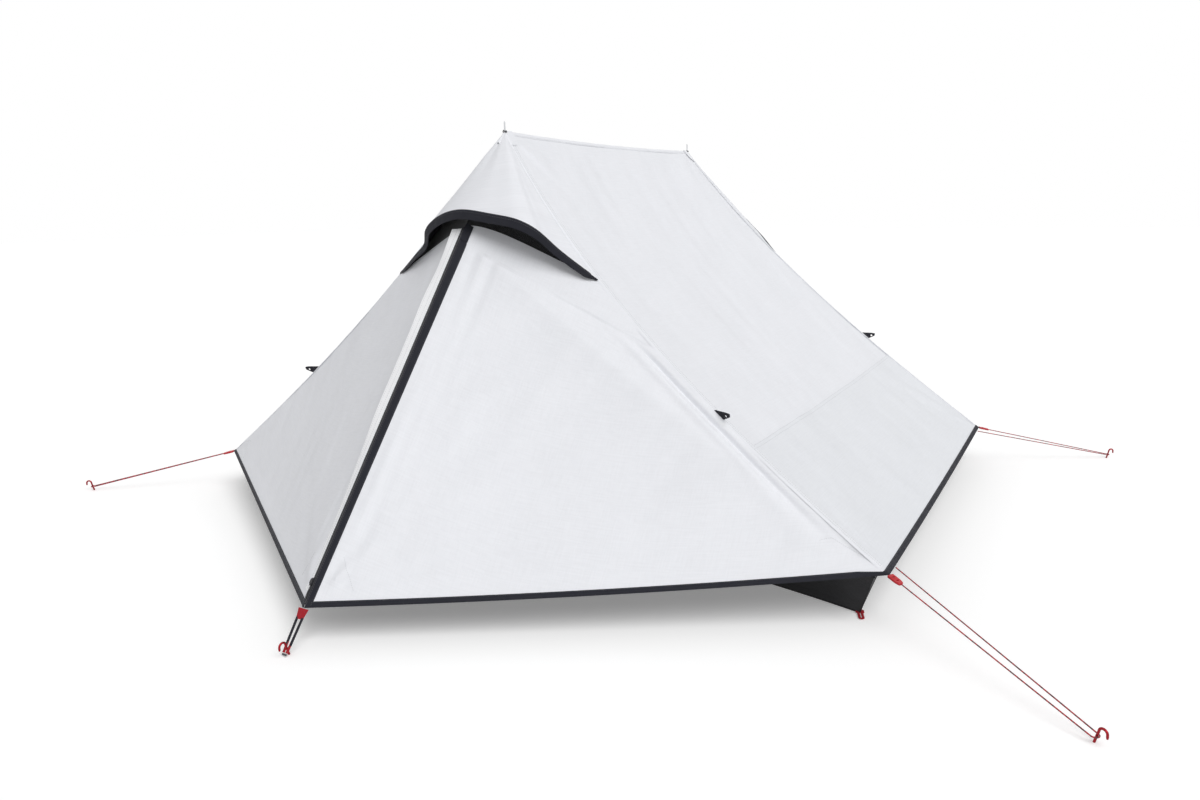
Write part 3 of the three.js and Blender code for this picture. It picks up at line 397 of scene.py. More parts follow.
def coated_material(name):
    n = Nodes(name, (0.006, 0.006, 0.008), 0.42, Specular_IOR_Level=0.4)
    uv = n.place("UV")
    cloud = n.noise(uv, 7, 4)
    n.tone(cloud, (0.004, 0.004, 0.006), (0.011, 0.011, 0.014))
    n.rough(cloud, 0.36, 0.55)
    n.bump(n.noise(uv, 30, 5, 0.6), 0.004, 0.6)
    n.weave(uv, 300, 0.0002)
    return n.material


def cord_material():
    n = Nodes("guyline_braid", (0.5, 0.02, 0.035), 0.6, Sheen_Weight=0.2)
    at = n.place("Object")
    braid = n.wave(at, 150, "DIAGONAL")
    strands = n.blend(n.ramp(braid, 0.2, 0.8, 0, 1), (0.34, 0.012, 0.022), (0.62, 0.03, 0.045))
    n.tone(n.noise(at, 210, 2), strands, (0.035, 0.02, 0.025), 0.48, 0.53, 0.9)
    n.bump(braid, 0.0004, 0.8)
    return n.material


def plastic_material(name, color):
    n = Nodes(name, color, 0.42, Coat_Weight=0.05)
    at = n.place("Object")
    n.rough(n.noise(at, 60, 3), 0.32, 0.48)
    n.tone(n.noise(at, 40, 3), times(color, 0.86), color)
    n.bump(n.noise(at, 900, 3), 0.00012, 0.5)
    return n.material


def metal_material(name, color, roughness):
    n = Nodes(name, color, roughness, Metallic=1.0)
    at = n.place("Object")
    drawn = n.noise(n.scaled(at, (500, 500, 6)), 1, 3)
    n.rough(drawn, roughness * 0.75, roughness * 1.35)
    n.tone(n.noise(at, 35, 4), times(color, 0.85), color)
    n.bump(drawn, 0.0001, 0.4)
    return n.material


def thread_material(name, color):
    n = Nodes(name, color, 0.6, Sheen_Weight=0.2)
    at = n.place("Object")
    n.shade("Base Color", n.blend(n.noise(at, 500, 2), times(color, 0.8), color))
    n.bump(n.wave(at, 900, "DIAGONAL"), 0.0001, 0.6)
    return n.material


FLY = fly_material("fly_polyester", (0.80, 0.81, 0.845))
BAND = fly_material("fly_polyester_band", (0.765, 0.78, 0.812))
# The zip facing is the fly's own cloth in a lighter copy: a painted highlight for the light that its
# turned-out strip catches.
FACING_PAINTED_LIGHT = fly_material("fly_polyester_facing_painted_highlight", (0.93, 0.935, 0.95))
LINING = coated_material("fly_dark_coating")
TUB = coated_material("tub_coated_nylon")
TAPE = tape_material("black_tape", (0.0125, 0.013, 0.019))
WEBBING = tape_material("red_webbing_weave", (0.34, 0.012, 0.02), 300)
NET = net_material()
BRAID = cord_material()
LOCK = plastic_material("red_nylon", (0.52, 0.006, 0.014))
TEETH = plastic_material("zip_coil_nylon", (0.02, 0.02, 0.024))
ALLOY = metal_material("pole_alloy_drawn", (0.62, 0.63, 0.65), 0.34)
PEG = metal_material("peg_anodised_alloy", (0.34, 0.022, 0.03), 0.36)
ZIP = metal_material("black_zip_enamel", (0.05, 0.05, 0.055), 0.42)
WHITE_THREAD = thread_material("white_thread", (0.62, 0.63, 0.66))
BLACK_THREAD = thread_material("black_thread", (0.05, 0.05, 0.06))
RED_THREAD = thread_material("red_thread", (0.3, 0.01, 0.02))


def stands_for(made, slot, body, *nodes):
    """Hides the frame's parts that a piece stands for, and sets it on the body it rides on. One that bends
    between two bodies rides on none.
    """
    if nodes:
        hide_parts(*nodes)
    if body:
        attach(made, body)
    return made


def guyline(end, side_name, mirror_x, mirror_y):
    """A taut braided cord from its line lock round its peg and back to the end hem."""
    name = f"{end}_{side_name}_guyline"
    data = bpy.data.curves.new(name + "_cord", "CURVE")
    data.dimensions = "3D"
    data.bevel_depth = CORD / 2
    data.bevel_resolution = 4
    data.use_fill_caps = True
    data.materials.append(BRAID)
    route = [(x * mirror_x, y * mirror_y, z) for x, y, z in guy_route()]
    spline = data.splines.new("POLY")
    spline.points.add(len(route) - 1)
    for place, target in zip(route, spline.points):
        target.co = (*place, 1)
    made = placed(bpy.data.objects.new(name + "_cord", data))
    stands_for(made, "red_cord", "root", name)
    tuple(route[0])


for end, right, left, turn in ENDS:
    guyline(end, right, turn, turn)
    guyline(end, left, -turn, turn)


# Meshes gathered from pieces
class Build:
    """Vertices, faces, texture places and material numbers of one object."""

    def __init__(self):
        self.points = []
        self.faces = []
        self.uvs = []
        self.mats = []
        self.count = 0

    def add(self, points, faces, uv, mat=0):
        points = np.asarray(points, float).reshape(-1, 3)
        self.points.append(points)
        self.uvs.append(np.asarray(uv, float).reshape(-1, 2))
        self.faces.extend([tuple(i + self.count for i in f) for f in faces])
        self.mats.extend([mat] * len(faces) if isinstance(mat, int) else mat)
        self.count += len(points)

    def make(self, name, materials, turn=1, sharp=50):
        """The object, turned half round where turn is -1."""
        points = np.concatenate(self.points) * (turn, turn, 1)
        mesh = bpy.data.meshes.new(name)
        mesh.from_pydata(points.tolist(), [], self.faces)
        corners = np.empty(len(mesh.loops), np.int32)
        mesh.loops.foreach_get("vertex_index", corners)
        uv = np.concatenate(self.uvs)[corners].astype(np.float32)
        mesh.uv_layers.new(name="UVMap").data.foreach_set("uv", uv.ravel())
        for material in materials:
            mesh.materials.append(material)
        mesh.polygons.foreach_set("material_index", np.array(self.mats, np.int32))
        mesh.polygons.foreach_set("use_smooth", np.ones(len(mesh.polygons), bool))
        mesh.set_sharp_from_angle(angle=math.radians(sharp))
        mesh.update()
        return placed(bpy.data.objects.new(name, mesh))


def grid_faces(rows, columns, start, flip):
    faces = []
    for j in range(rows - 1):
        for i in range(columns - 1):
            a = start + j * columns + i
            halves = ((a, a + 1, a + columns + 1), (a, a + columns + 1, a + columns))
            faces.extend(half[::-1] if flip else half for half in halves)
    return faces


def ring_faces(rings, sides, flip=False):
    """The skin over rings of points, and then its two ends."""
    faces = []
    for j in range(rings - 1):
        for i in range(sides):
            a = j * sides + i
            b = j * sides + (i + 1) % sides
            faces.append((a, b, b + sides, a + sides))
    faces.append(tuple(range(sides))[::-1])
    faces.append(tuple(range((rings - 1) * sides, rings * sides)))
    return [face[::-1] for face in faces] if flip else faces


def arc_places(points, axis):
    places = np.cumsum(length(np.diff(points, axis=axis)), axis=axis)
    pad = [(0, 0), (0, 0)]
    pad[axis] = (1, 0)
    return np.pad(places, pad)


class Grid:
    """Points of a surface, with the distances in metres that wrinkles and textures are made from."""

    def __init__(self, surface, columns, rows, blur=0):
        self.u, self.v = np.meshgrid(np.linspace(0, 1, columns + 1), np.linspace(0, 1, rows + 1))
        self.points = surface(self.u, self.v)
        for _ in range(blur):
            inner = self.points[:, 1:-1]
            inner += (self.points[:, :-2] + self.points[:, 2:] - 2 * inner) / 4
        self.measure()

    def measure(self):
        self.near = arc_places(self.points, 1)
        self.far = self.near[:, -1:] - self.near
        self.top = arc_places(self.points, 0)
        self.foot = self.top[-1:, :] - self.top
        self.normal = self.skin()[1]

    def skin(self, lift=0.0):
        """The surface as it lies now, lifted, with its outward directions and whether they are its own."""
        normal = unit(np.cross(np.gradient(self.points, axis=1), np.gradient(self.points, axis=0)))
        outwards = np.sum(normal * self.points, axis=-1).mean() > 0
        normal = normal if outwards else -normal
        return self.points + normal * lift, normal, outwards

    def lift(self, height):
        self.points = self.points + self.normal * np.asarray(height)[..., None]
        return self

    def waves(self, height, across, down, seed, slant=0, back=0):
        """Noise of so many folds a metre across and down the cloth, slanting by the last two numbers."""
        x = self.near * across + self.top * slant
        return height * value_noise(x, self.top * down + self.near * back, seed)

    def area(self):
        a = self.points[1:, 1:] - self.points[:-1, :-1]
        b = self.points[1:, :-1] - self.points[:-1, 1:]
        return float((length(np.cross(a, b)) / 2).sum())


def add_sheet(build, grid, thickness=CLOTH, mats=(0, 1), lift=0.0):
    """A closed thin sheet whose outer face is the grid, lifted off it."""
    outer, normal, outwards = grid.skin(lift)
    inner = outer - normal * thickness
    rows, columns = grid.u.shape
    count = rows * columns
    uv = np.stack([grid.near, grid.top], axis=-1).reshape(-1, 2)
    faces = grid_faces(rows, columns, 0, not outwards)
    back = grid_faces(rows, columns, count, outwards)
    loop = list(range(columns))
    loop += [(j + 1) * columns - 1 for j in range(1, rows)]
    loop += [count - 1 - i for i in range(1, columns)]
    loop += [(rows - 1 - j) * columns for j in range(1, rows - 1)]
    rim = [(b, a, a + count, b + count) for a, b in zip(loop, loop[1:] + loop[:1])]
    rim = rim if outwards else [quad[::-1] for quad in rim]
    face_mats = [mats[0]] * len(faces) + [mats[1]] * len(back) + [mats[0]] * len(rim)
    points = np.concatenate([outer.reshape(-1, 3), inner.reshape(-1, 3)])
    build.add(points, faces + back + rim, np.concatenate([uv, uv]), face_mats)


def sheet_build(grid, thickness=CLOTH, mats=(0, 1), lift=0.0):
    build = Build()
    add_sheet(build, grid, thickness, mats, lift)
    return build


STITCH_LENGTH = 0.0036
STITCH_PITCH = 0.0054
STITCH_WIDTH = 0.0008
STITCH_HEIGHT = 0.0005
STITCH_SUNK_SHARE = 0.4
STITCH_TAPER_SHARE = 0.25


def add_stitches(build, line, normal, mat, pitch=STITCH_PITCH, size=1.0):
    """Short raised stitches along a line of points, on the side that the normals face."""
    normal = np.broadcast_to(normal, line.shape)
    places = runs(line)
    for k in range(int(places[-1] / pitch)):
        start, stop = (vec(*(np.interp(at, places, line[:, i]) for i in range(3)))
                       for at in (k * pitch, k * pitch + STITCH_LENGTH * size))
        up = unit(vec(*(np.interp(k * pitch, places, normal[:, i]) for i in range(3))))
        side = unit(np.cross(stop - start, up)) * STITCH_WIDTH * size / 2
        rise = up * STITCH_HEIGHT * size
        middle = (start + stop) / 2
        low = np.array([start - side, stop - side, stop + side, start + side])
        high = low + rise + (middle - low) * STITCH_TAPER_SHARE
        points = np.concatenate([low - rise * STITCH_SUNK_SHARE, high])
        build.add(points, ring_faces(2, 4), [(0, 0)] * 8, mat)


def sheet_stitches(build, grid, mat, across=(), down=(), lift=0.0):
    """Stitch lines at distances in from a sheet's near and far edges, and from its top and foot."""
    raised, normal, _ = grid.skin(lift)
    for distances, near, far, axis in ((across, grid.near, grid.far, 1), (down, grid.top, grid.foot, 0)):
        for at in distances:
            nearest = np.argmin(np.abs((near if at >= 0 else far) - abs(at)), axis=axis)
            steps = np.arange(len(nearest))
            place = (steps, nearest) if axis else (nearest, steps)
            add_stitches(build, raised[place], normal[place], mat)


def path_stitches(build, grid, path, mat):
    """Stitches along a path drawn on a sheet, given as shares across and down its rows."""
    rows, columns = grid.u.shape
    raised, normal, _ = grid.skin()
    line, ups = [], []
    for start, stop in zip(path, path[1:]):
        for share in np.linspace(0, 1, 40, endpoint=False):
            x, y = mix(vec(*start), vec(*stop), share) * (columns - 1, rows - 1)
            i, j = min(int(x), columns - 2), min(int(y), rows - 2)
            a, b = x - i, y - j
            weights = ((1 - a) * (1 - b), a * (1 - b), (1 - a) * b, a * b)
            corners = ((j, i), (j, i + 1), (j + 1, i), (j + 1, i + 1))
            line.append(sum(w * raised[c] for w, c in zip(weights, corners)))
            ups.append(sum(w * normal[c] for w, c in zip(weights, corners)))
    add_stitches(build, np.array(line), unit(np.array(ups)), mat)


TAPE_SIDES = 8


def tape_section():
    """A rounded oblong from -1 to 1, with one more point in the middle of its outer side."""
    section = [(0.0, 1.0)]
    for k in range(TAPE_SIDES):
        angle = 2 * math.pi * (k + 0.5) / TAPE_SIDES
        across, up = math.cos(angle), math.sin(angle)
        section.append((math.copysign(abs(across) ** 0.35, across), math.copysign(abs(up) ** 0.6, up)))
    return sorted(section, key=lambda p: math.atan2(p[1], p[0]))


TAPE_SECTION = tape_section()


def add_strip(build, tops, feet, out, thickness, mat=0, pucker=0.0, seed=1):
    """A tape of rounded section between two lines, its middle thickness on them."""
    along = runs(tops)
    half = (feet - tops) / 2
    middle = (feet + tops) / 2
    knots = np.arange(0, along[-1] + 0.02, 0.009)
    puff = 1 + pucker * np.interp(along, knots, np.random.default_rng(seed).uniform(-1, 1, len(knots)))
    rings = [middle + half * a + out * (b * thickness / 2 * puff)[:, None] for a, b in TAPE_SECTION]
    uv = np.stack([np.stack([along, length(half) * (1 + a)], axis=-1) for a, _ in TAPE_SECTION], axis=1)
    points = np.stack(rings, axis=1)
    start = points[0, 0]
    inside_out = np.dot(np.cross(points[1, 0] - start, points[0, 1] - start), start - middle[0]) >= 0
    build.add(points, ring_faces(len(tops), len(TAPE_SECTION), inside_out), uv, mat)


def add_tube(build, line, radius, sides=12, mat=0):
    """A round tube along points, with a radius or one for each point, and flat ends."""
    line = np.asarray(line, float)
    radii = np.broadcast_to(radius, len(line))
    tangent = unit(np.gradient(line, axis=0))
    side = unit(np.cross(tangent[0], UP if abs(tangent[0][2]) < 0.9 else X))
    rings = []
    for place, way, r in zip(line, tangent, radii):
        side = unit(side - way * np.dot(side, way))
        rings.append(round_line(place, side, np.cross(way, side), r, sides + 1)[:-1])
    uv = [(at, 2 * math.pi * r * i / sides) for at, r in zip(runs(line), radii) for i in range(sides)]
    build.add(np.concatenate(rings), ring_faces(len(line), sides), uv, mat)


# Wrinkles
LATTICE = 64


def value_noise(x, y, seed):
    """Smooth noise from -1 to 1 on a unit lattice."""
    table = np.random.default_rng(seed).uniform(-1, 1, (LATTICE, LATTICE))
    column = np.floor(x).astype(int)
    row = np.floor(y).astype(int)
    fx = smooth(x - column, 0, 1)
    fy = smooth(y - row, 0, 1)
    columns = (column % LATTICE, (column + 1) % LATTICE)
    low, high = (table[j % LATTICE, columns[0]] * (1 - fx) + table[j % LATTICE, columns[1]] * fx
                 for j in (row, row + 1))
    return low * (1 - fy) + high * fy


def fan(points, centre, axis_x, axis_y, folds, reach, seed):
    """Creases that run out from a pulled point and die away with distance."""
    x = (points - centre) @ unit(axis_x)
    y = (points - centre) @ unit(axis_y)
    distance = np.hypot(x, y)
    waves = value_noise(np.arctan2(y, x) * folds / math.pi + 9, distance / reach * 0.7, seed)
    return waves * np.exp(-distance / reach) * np.minimum(distance / 0.10, 1)


def edge_window(grid, near=0.03, far=0.03, top=0.03, foot=0.03, tape=0.0, hem=0.0):
    """Nothing on a sheet's edges and under its tape and hem, and all of the creases further in."""
    made = np.ones_like(grid.near)
    for places, start, size in ((grid.near, tape, near), (grid.far, 0, far), (grid.top, 0, top),
                                (grid.foot, hem, foot)):
        if size:
            made = made * smooth(places, start, start + size)
    return made


# Planes of the fly, and the shares of its edges where hems, tapes and folds stand
def plane_normal(a, b, c):
    return unit(np.cross(b - a, c - a))


SEAM_LENGTH = float(length(corner(1) - apex()))
RIGHT_NORMAL = plane_normal(apex(), TIP, corner(1))
LEFT_NORMAL = RIGHT_NORMAL * (-1, 1, 1)
END_NORMAL = plane_normal(apex(-1), seam(1, -1, 0.1), apex(1))
ZIP_TOP = mix(apex(), TIP, VENT_POINT)
ZIP_LENGTH = float(length(TIP - ZIP_TOP))
ZIP_DOWN = unit(TIP - ZIP_TOP)
VENT_SHARE = VENT_GAP / ZIP_LENGTH
FACE_HEM_TOP = 1 - HEM_WIDTH / SEAM_LENGTH / (1 - HOOD_SEAM)
END_BINDING_TOP = 1 - HEM_SEEN / SEAM_LENGTH
FACE_BINDING_TOP = 1 - HEM_SEEN / SEAM_LENGTH / (1 - HOOD_SEAM)
GUSSET_FOLD = VENT_SHARE + 2 * (FACE_HEM_TOP - VENT_SHARE) / GUSSET_ROWS


def end_surface(u, v):
    base = mix(seam(1, -1, v), seam(1, 1, v), u)
    base[..., 2] -= belly(u) * ((1 - v) * RIDGE_SAG + v * END_SAG)
    base[..., 0] -= belly(u) * v * END_BOW
    return base - END_NORMAL * (belly(u) * belly(v) * PANEL_DIP)[..., None]


def hem_line(side, share):
    along = unit(corner(side) - TIP)
    inward = unit(vec(-side * along[1], side * along[0], 0))
    slack = belly(np.asarray(share, float))
    place = mix(TIP, corner(side), share) + slack[..., None] * inward * FRONT_BOW
    place[..., 2] -= slack * FRONT_SAG
    return place


def face_seam(side, share):
    return seam(side, -1, HOOD_SEAM + (1 - HOOD_SEAM) * np.asarray(share, float))


DOOR_TOP = ZIP_TOP + ZIP_DOWN * DOOR_DROP
FOLD_FOOT_SHARE = 1 - FOLD_FOOT / float(length(corner(1) - TIP))
DOOR_FAR = face_seam(1, GUSSET_FOLD)
FOLD_TOP = DOOR_TOP + unit(DOOR_FAR - DOOR_TOP) * DOOR_HEAD_WIDTH
FOLD_FOOT_PLACE = hem_line(1, FOLD_FOOT_SHARE)


def zip_at(share):
    return mix(ZIP_TOP, TIP, share)


def door_zip_at(share):
    return mix(DOOR_TOP, TIP, share)


def fold_at(share):
    return mix(FOLD_TOP, FOLD_FOOT_PLACE, share)


def fixed_far_at(share):
    return face_seam(-1, share)


def door_far_at(share):
    """The seam's place for a row of the door's cloth, at the same pace from its head to the hem."""
    return face_seam(1, GUSSET_FOLD + (1 - GUSSET_FOLD) * share)


def face(near, far, side, hem_end, normal, across, share):
    """A place on the front, between two lines down it, with the hem's bow and the cloth's dip."""
    place = mix(near(share), far(share), across)
    bow = hem_line(side, across * hem_end) - mix(TIP, far(np.ones_like(share)), across)
    return place + bow * share[..., None] - normal * (belly(across) * belly(share) * PANEL_DIP)[..., None]


def fixed_width(share):
    return length(zip_at(share) - fixed_far_at(share))


def door_width(share):
    return length(door_zip_at(share) - fold_at(share))


def fixed_at(distance, share):
    """A place on the fixed panel, so far from the zip."""
    return face(zip_at, fixed_far_at, -1, 1, LEFT_NORMAL, distance / fixed_width(share), share)


def door_at(distance, share):
    """A place on the door leaf, so far from the zip."""
    return face(door_zip_at, fold_at, 1, FOLD_FOOT_SHARE, RIGHT_NORMAL, distance / door_width(share), share)


def gusset_place(part, v):
    bow = hem_line(1, FOLD_FOOT_SHARE + (1 - FOLD_FOOT_SHARE) * part) - mix(FOLD_FOOT_PLACE, corner(1), part)
    return mix(fold_at(v), door_far_at(v), part) + bow * v[..., None]


def fixed_surface(u, v):
    near = TAPE_START + 0.002
    place = fixed_at(near + u * (fixed_width(v) - near), v)
    rise = VENT_RISE_LEFT * np.sin(math.pi * u**0.7) * (1 - smooth(v, 0, 0.12))
    return place + unit(apex() - place) * rise[..., None]


def facing_surface(u, v):
    return fixed_at(TAPE_START + FIXED_TAPE + 0.002 + u * FACING_WIDTH, v)


def door_surface(u, v):
    """The door and the gusset beyond its fold line are one cloth, from the zip's flap to the seam."""
    near = TAPE_START + 0.004
    leaf = door_width(v)
    gusset = length(door_far_at(v) - fold_at(v))
    run = near + u * (leaf + gusset - near)
    beyond = gusset_place(np.clip((run - leaf) / gusset, 0, 1), v)
    return np.where((run <= leaf)[..., None], door_at(np.minimum(run, leaf), v), beyond)


def door_foot_surface(u, v):
    return door_at(TAPE_START + u * (door_width(v) - TAPE_START), v)


def head_surface(u, v):
    """The cloth above the door's head, from the zip's top and the vent to the door's head edge."""
    top = mix(ZIP_TOP, seam(1, -1, HOOD_SEAM), u)
    rise = VENT_RISE * np.sin(math.pi * u**0.62)
    return mix(top + unit(apex() - top) * rise[..., None], mix(DOOR_TOP, DOOR_FAR, u), v)


# The hood's arch, through the same points as the frame's
ARCH_RIGHT = [(0, 1), (0.30, 0.93), (0.52, 0.842), (0.66, 0.685), (0.78, 0.40), (1, 0)]
ARCH_LEFT = {"front": [(-1, 0), (-0.70, 0.32), (-0.535, 0.50), (-0.435, 0.72), (-0.245, 0.905)],
             "back": [(-1, 0), (-0.79, 0.34), (-0.635, 0.56), (-0.495, 0.75), (-0.285, 0.91)]}


def arch_at(u, end):
    """A centripetal Catmull-Rom curve, at each share of its number of spans."""
    foot = seam(1, -1, HOOD_SEAM)
    half = foot[0] - HOOD_STAND_OFF
    knots = np.array([(a * half, foot[1] - HOOD_STAND_OFF - r * HOOD_REACH, foot[2] + r * HOOD_RISE)
                      for a, r in ARCH_LEFT[end] + ARCH_RIGHT])
    knots = np.concatenate([[2 * knots[0] - knots[1]], knots, [2 * knots[-1] - knots[-2]]])
    spans = len(knots) - 3
    out = []
    for place in np.clip(u, 0, 1) * spans:
        i = min(int(place), spans - 1)
        w = place - i
        p = knots[i : i + 4]
        d = np.sqrt(length(np.diff(p, axis=0)))
        t1 = ((p[1] - p[0]) / d[0] - (p[2] - p[0]) / (d[0] + d[1]) + (p[2] - p[1]) / d[1]) * d[1]
        t2 = ((p[2] - p[1]) / d[1] - (p[3] - p[1]) / (d[1] + d[2]) + (p[3] - p[2]) / d[2]) * d[1]
        out.append(p[1] + t1 * w + (-3 * p[1] + 3 * p[2] - 2 * t1 - t2) * w * w
                   + (2 * p[1] - 2 * p[2] + t1 + t2) * w**3)
    return np.array(out)


def on_sides(side, line):
    """The right side's places where side is above 0, and the left side's elsewhere."""
    return np.where((side > 0)[..., None], line(1), line(-1))


def hood_surface(end):
    def surface(u, v):
        side = 2 * u - 1
        slack = on_sides(side, lambda s: seam(s, -1, HOOD_SEAM * v) - mix(apex(), seam(s, -1, HOOD_SEAM), v))
        return mix(apex(), arch_at(u[0], end)[None], v) + slack * (np.abs(side) ** 3)[..., None]

    return surface


def net_surface(u, v):
    side = 2 * u - 1
    middle = mix(apex(), ZIP_TOP, v)
    place = on_sides(side, lambda s: between(middle, seam(s, -1, HOOD_SEAM * v), np.abs(side), 0, NET_INSET))
    depth = NET_HEAD_DEPTH + (NET_FOOT_DEPTH - NET_HEAD_DEPTH) * v
    return place - unit(RIGHT_NORMAL * (0, 1, 1)) * depth[..., None]


def stretch(surface, from_v, to_v, from_u=0.0, to_u=1.0):
    return lambda u, v: surface(from_u + (to_u - from_u) * u, from_v + (to_v - from_v) * v)


LEAST_AREA_SHARE = 0.31


def piece(build, name, materials, turn, slot, body, *nodes, sharp=50):
    return stands_for(build.make(name, materials, turn, sharp), slot, body, *nodes)


def declare(made, grid, held, *rests_on):
    """The cut of a cloth is as wide and long as its widest and longest run, and has the cloth's own area."""
    area = grid.area()
    width = float(grid.near[:, -1].max())
    run = max(float(grid.top[-1].max()), area / width)
    flat = (round(width, 3), round(run, 3))
    area = max(LEAST_AREA_SHARE * width * run, min(area, flat[0] * flat[1]))


def cloth(build, grid, name, materials, turn, nodes, held, *rests_on, slot="fly_cloth", sharp=50):
    """A piece of cloth that lies still."""
    declare(piece(build, name, materials, turn, slot, "root", *nodes, sharp=sharp), grid, held, *rests_on)


# End panels: the main cloth, and the band below its cross seam
CROSS_SEAM = 0.735
BAND_OVERLAP = 0.008
BAND_LIFT = CLOTH * 1.6
BAND_PRESS = 0.0011
END_COLUMNS = 150
END_ROWS = 120
BAND_ROWS = 44


def end_grid(low, high, rows, above=0):
    """An end's cloth between two shares of its height, with soft pulls between its apexes and corners, and its
    foot pressed in under the hem."""
    grid = Grid(stretch(end_surface, low, high), END_COLUMNS, rows)
    grid.top = grid.top + above
    share = low + (high - low) * grid.v
    window = smooth(grid.near, 0, 0.05) * smooth(grid.far, 0, 0.05)
    window = window * smooth(share, 0, 0.05) * (1 - smooth(share, 0.94, 1.0))
    height = 0.0040 * value_noise(grid.near * 7 + share * 2, grid.top * 1.6, 21)
    height = height + grid.waves(0.0018, 19, 4, 22, back=6)
    for end, seed in ((-1, 31), (1, 32)):
        for most, place, way, folds, more in ((0.013, corner(1, end), vec(-0.68, 0, 0.73), 15, 0),
                                              (0.009, apex(end), vec(0.68, 0, -0.73), 13, 5)):
            height = height + most * fan(grid.points, place, Y * -end, way, folds, 0.22, seed + more)
    return grid.lift(height * window - BAND_PRESS * smooth(share, 0.955, 0.98))


def end_panel(end, right, turn):
    nodes = [f"{right}_end_panel"]
    name = f"{right}_end_panel_cloth"
    grid = end_grid(0.0, CROSS_SEAM, END_ROWS)
    cloth(sheet_build(grid), grid, name, [FLY, LINING], turn, nodes, "stretched", f"{end}_pole_upper")
    band = end_grid(CROSS_SEAM - BAND_OVERLAP, CLOTH_END, BAND_ROWS, grid.top[-1:])
    band.measure()
    build = sheet_build(band, lift=BAND_LIFT)
    sheet_stitches(build, band, 2, down=(0.003, 0.010), lift=BAND_LIFT)
    materials = [BAND, LINING, WHITE_THREAD]
    cloth(build, band, f"{right}_end_band_cloth", materials, turn, nodes, "stretched", name)


# Front: fixed panel and its zip facing, door with gusset, the head above the door
DOOR_PATCHES = (((0.03, 0.885), (0.075, 0.975)), ((0.92, 0.90), (0.955, 0.875), (0.995, 0.93)))
PANEL_PATCHES = (((0.05, 0.90), (0.085, 0.975)), ((0.90, 0.975), (0.955, 0.90), (0.995, 0.93)))


def front_creases(grid, side, tip_seed, zip_reach, zip_folds, zip_seed, flare, flare_reach, flare_seed):
    """Creases from the front point, down beside the zip, and from the corner."""
    along = unit(corner(side) - TIP)
    at_tip = 0.013 * fan(grid.points, TIP, along, -ZIP_DOWN, 22, 0.30, tip_seed)
    beside_zip = np.exp(-grid.near / zip_reach) * smooth(grid.v, 0.25, 0.7)
    up = vec(-side * 0.5, 0, 0.87)
    at_corner = flare * fan(grid.points, corner(side), -along, up, 15, flare_reach, flare_seed)
    return at_tip + beside_zip * grid.waves(0.0040, zip_folds, 1.3, zip_seed) + at_corner


def front_build(grid, patches):
    """A front cloth with the stitched outlines of the doubled cloth at its point and corner."""
    build = sheet_build(grid)
    for path in patches:
        path_stitches(build, grid, path, 2)
    return build


def fixed_panel(end, turn):
    nodes = [f"{end}_fixed_panel"]
    name = f"{end}_fixed_panel_cloth"
    grid = Grid(stretch(fixed_surface, VENT_SHARE, CLOTH_END), 120, 120)
    height = front_creases(grid, -1, 41, 0.10, 50, 46, 0.010, 0.2, 42)
    height = height + grid.waves(0.0040, 8, 1.8, 43) + grid.waves(0.0010, 26, 3, 44, 5)
    grid.lift(height * edge_window(grid, 0.04, 0.03, 0.03, 0.04, FIXED_TAPE, HEM_WIDTH))
    cloth(front_build(grid, PANEL_PATCHES), grid, name, [FLY, LINING, WHITE_THREAD], turn, nodes, "stretched",
          f"{end}_pole_upper")
    facing = Grid(stretch(facing_surface, VENT_SHARE, 0.97), 14, 150)
    fade = 1 - smooth(facing.v, 0.45, 0.9)
    ripple = 1 + 0.25 * value_noise(facing.top * 9, facing.u, 45)
    facing.lift(FACING_THICK + FACING_LIFT * fade * facing.u**1.1 * ripple)
    build = sheet_build(facing, FACING_THICK, (0, 0))
    sheet_stitches(build, facing, 1, across=(0.012, -0.004))
    # The facing's lighter cloth is a painted highlight, not a different cloth.
    cloth(build, facing, f"{end}_zip_facing", [FACING_PAINTED_LIGHT, WHITE_THREAD], turn, nodes, "folded", name)


def door_wrinkles(grid):
    """The door hangs in folds from its head, is slack in the middle and dips along its seam."""
    height = front_creases(grid, 1, 51, 0.09, 45, 58, 0.009, 0.25, 52)
    drape = np.exp(-grid.top / 0.22) * (1 - smooth(grid.near, 0.10, 0.24))
    middle = hump(grid.near, 0.28, 0.22) * hump(grid.top, 0.42, 0.22)
    height = height + drape * grid.waves(0.0060, 38, 2.0, 53) + middle * grid.waves(0.0055, 11, 3, 54, 7, -2)
    height = height + grid.waves(0.0034, 6, 1.7, 55) + grid.waves(0.0012, 23, 4, 56, 6)
    along_seam = smooth(grid.v, 0.02, 0.14) * (1 - smooth(grid.v, 0.72, 0.98))
    valley = hump(grid.far, 0.085, 0.026) - 0.45 * hump(grid.far, 0.145, 0.035)
    return height - 0.0085 * valley * along_seam * (1 + 0.3 * value_noise(grid.top * 5, grid.u, 57))


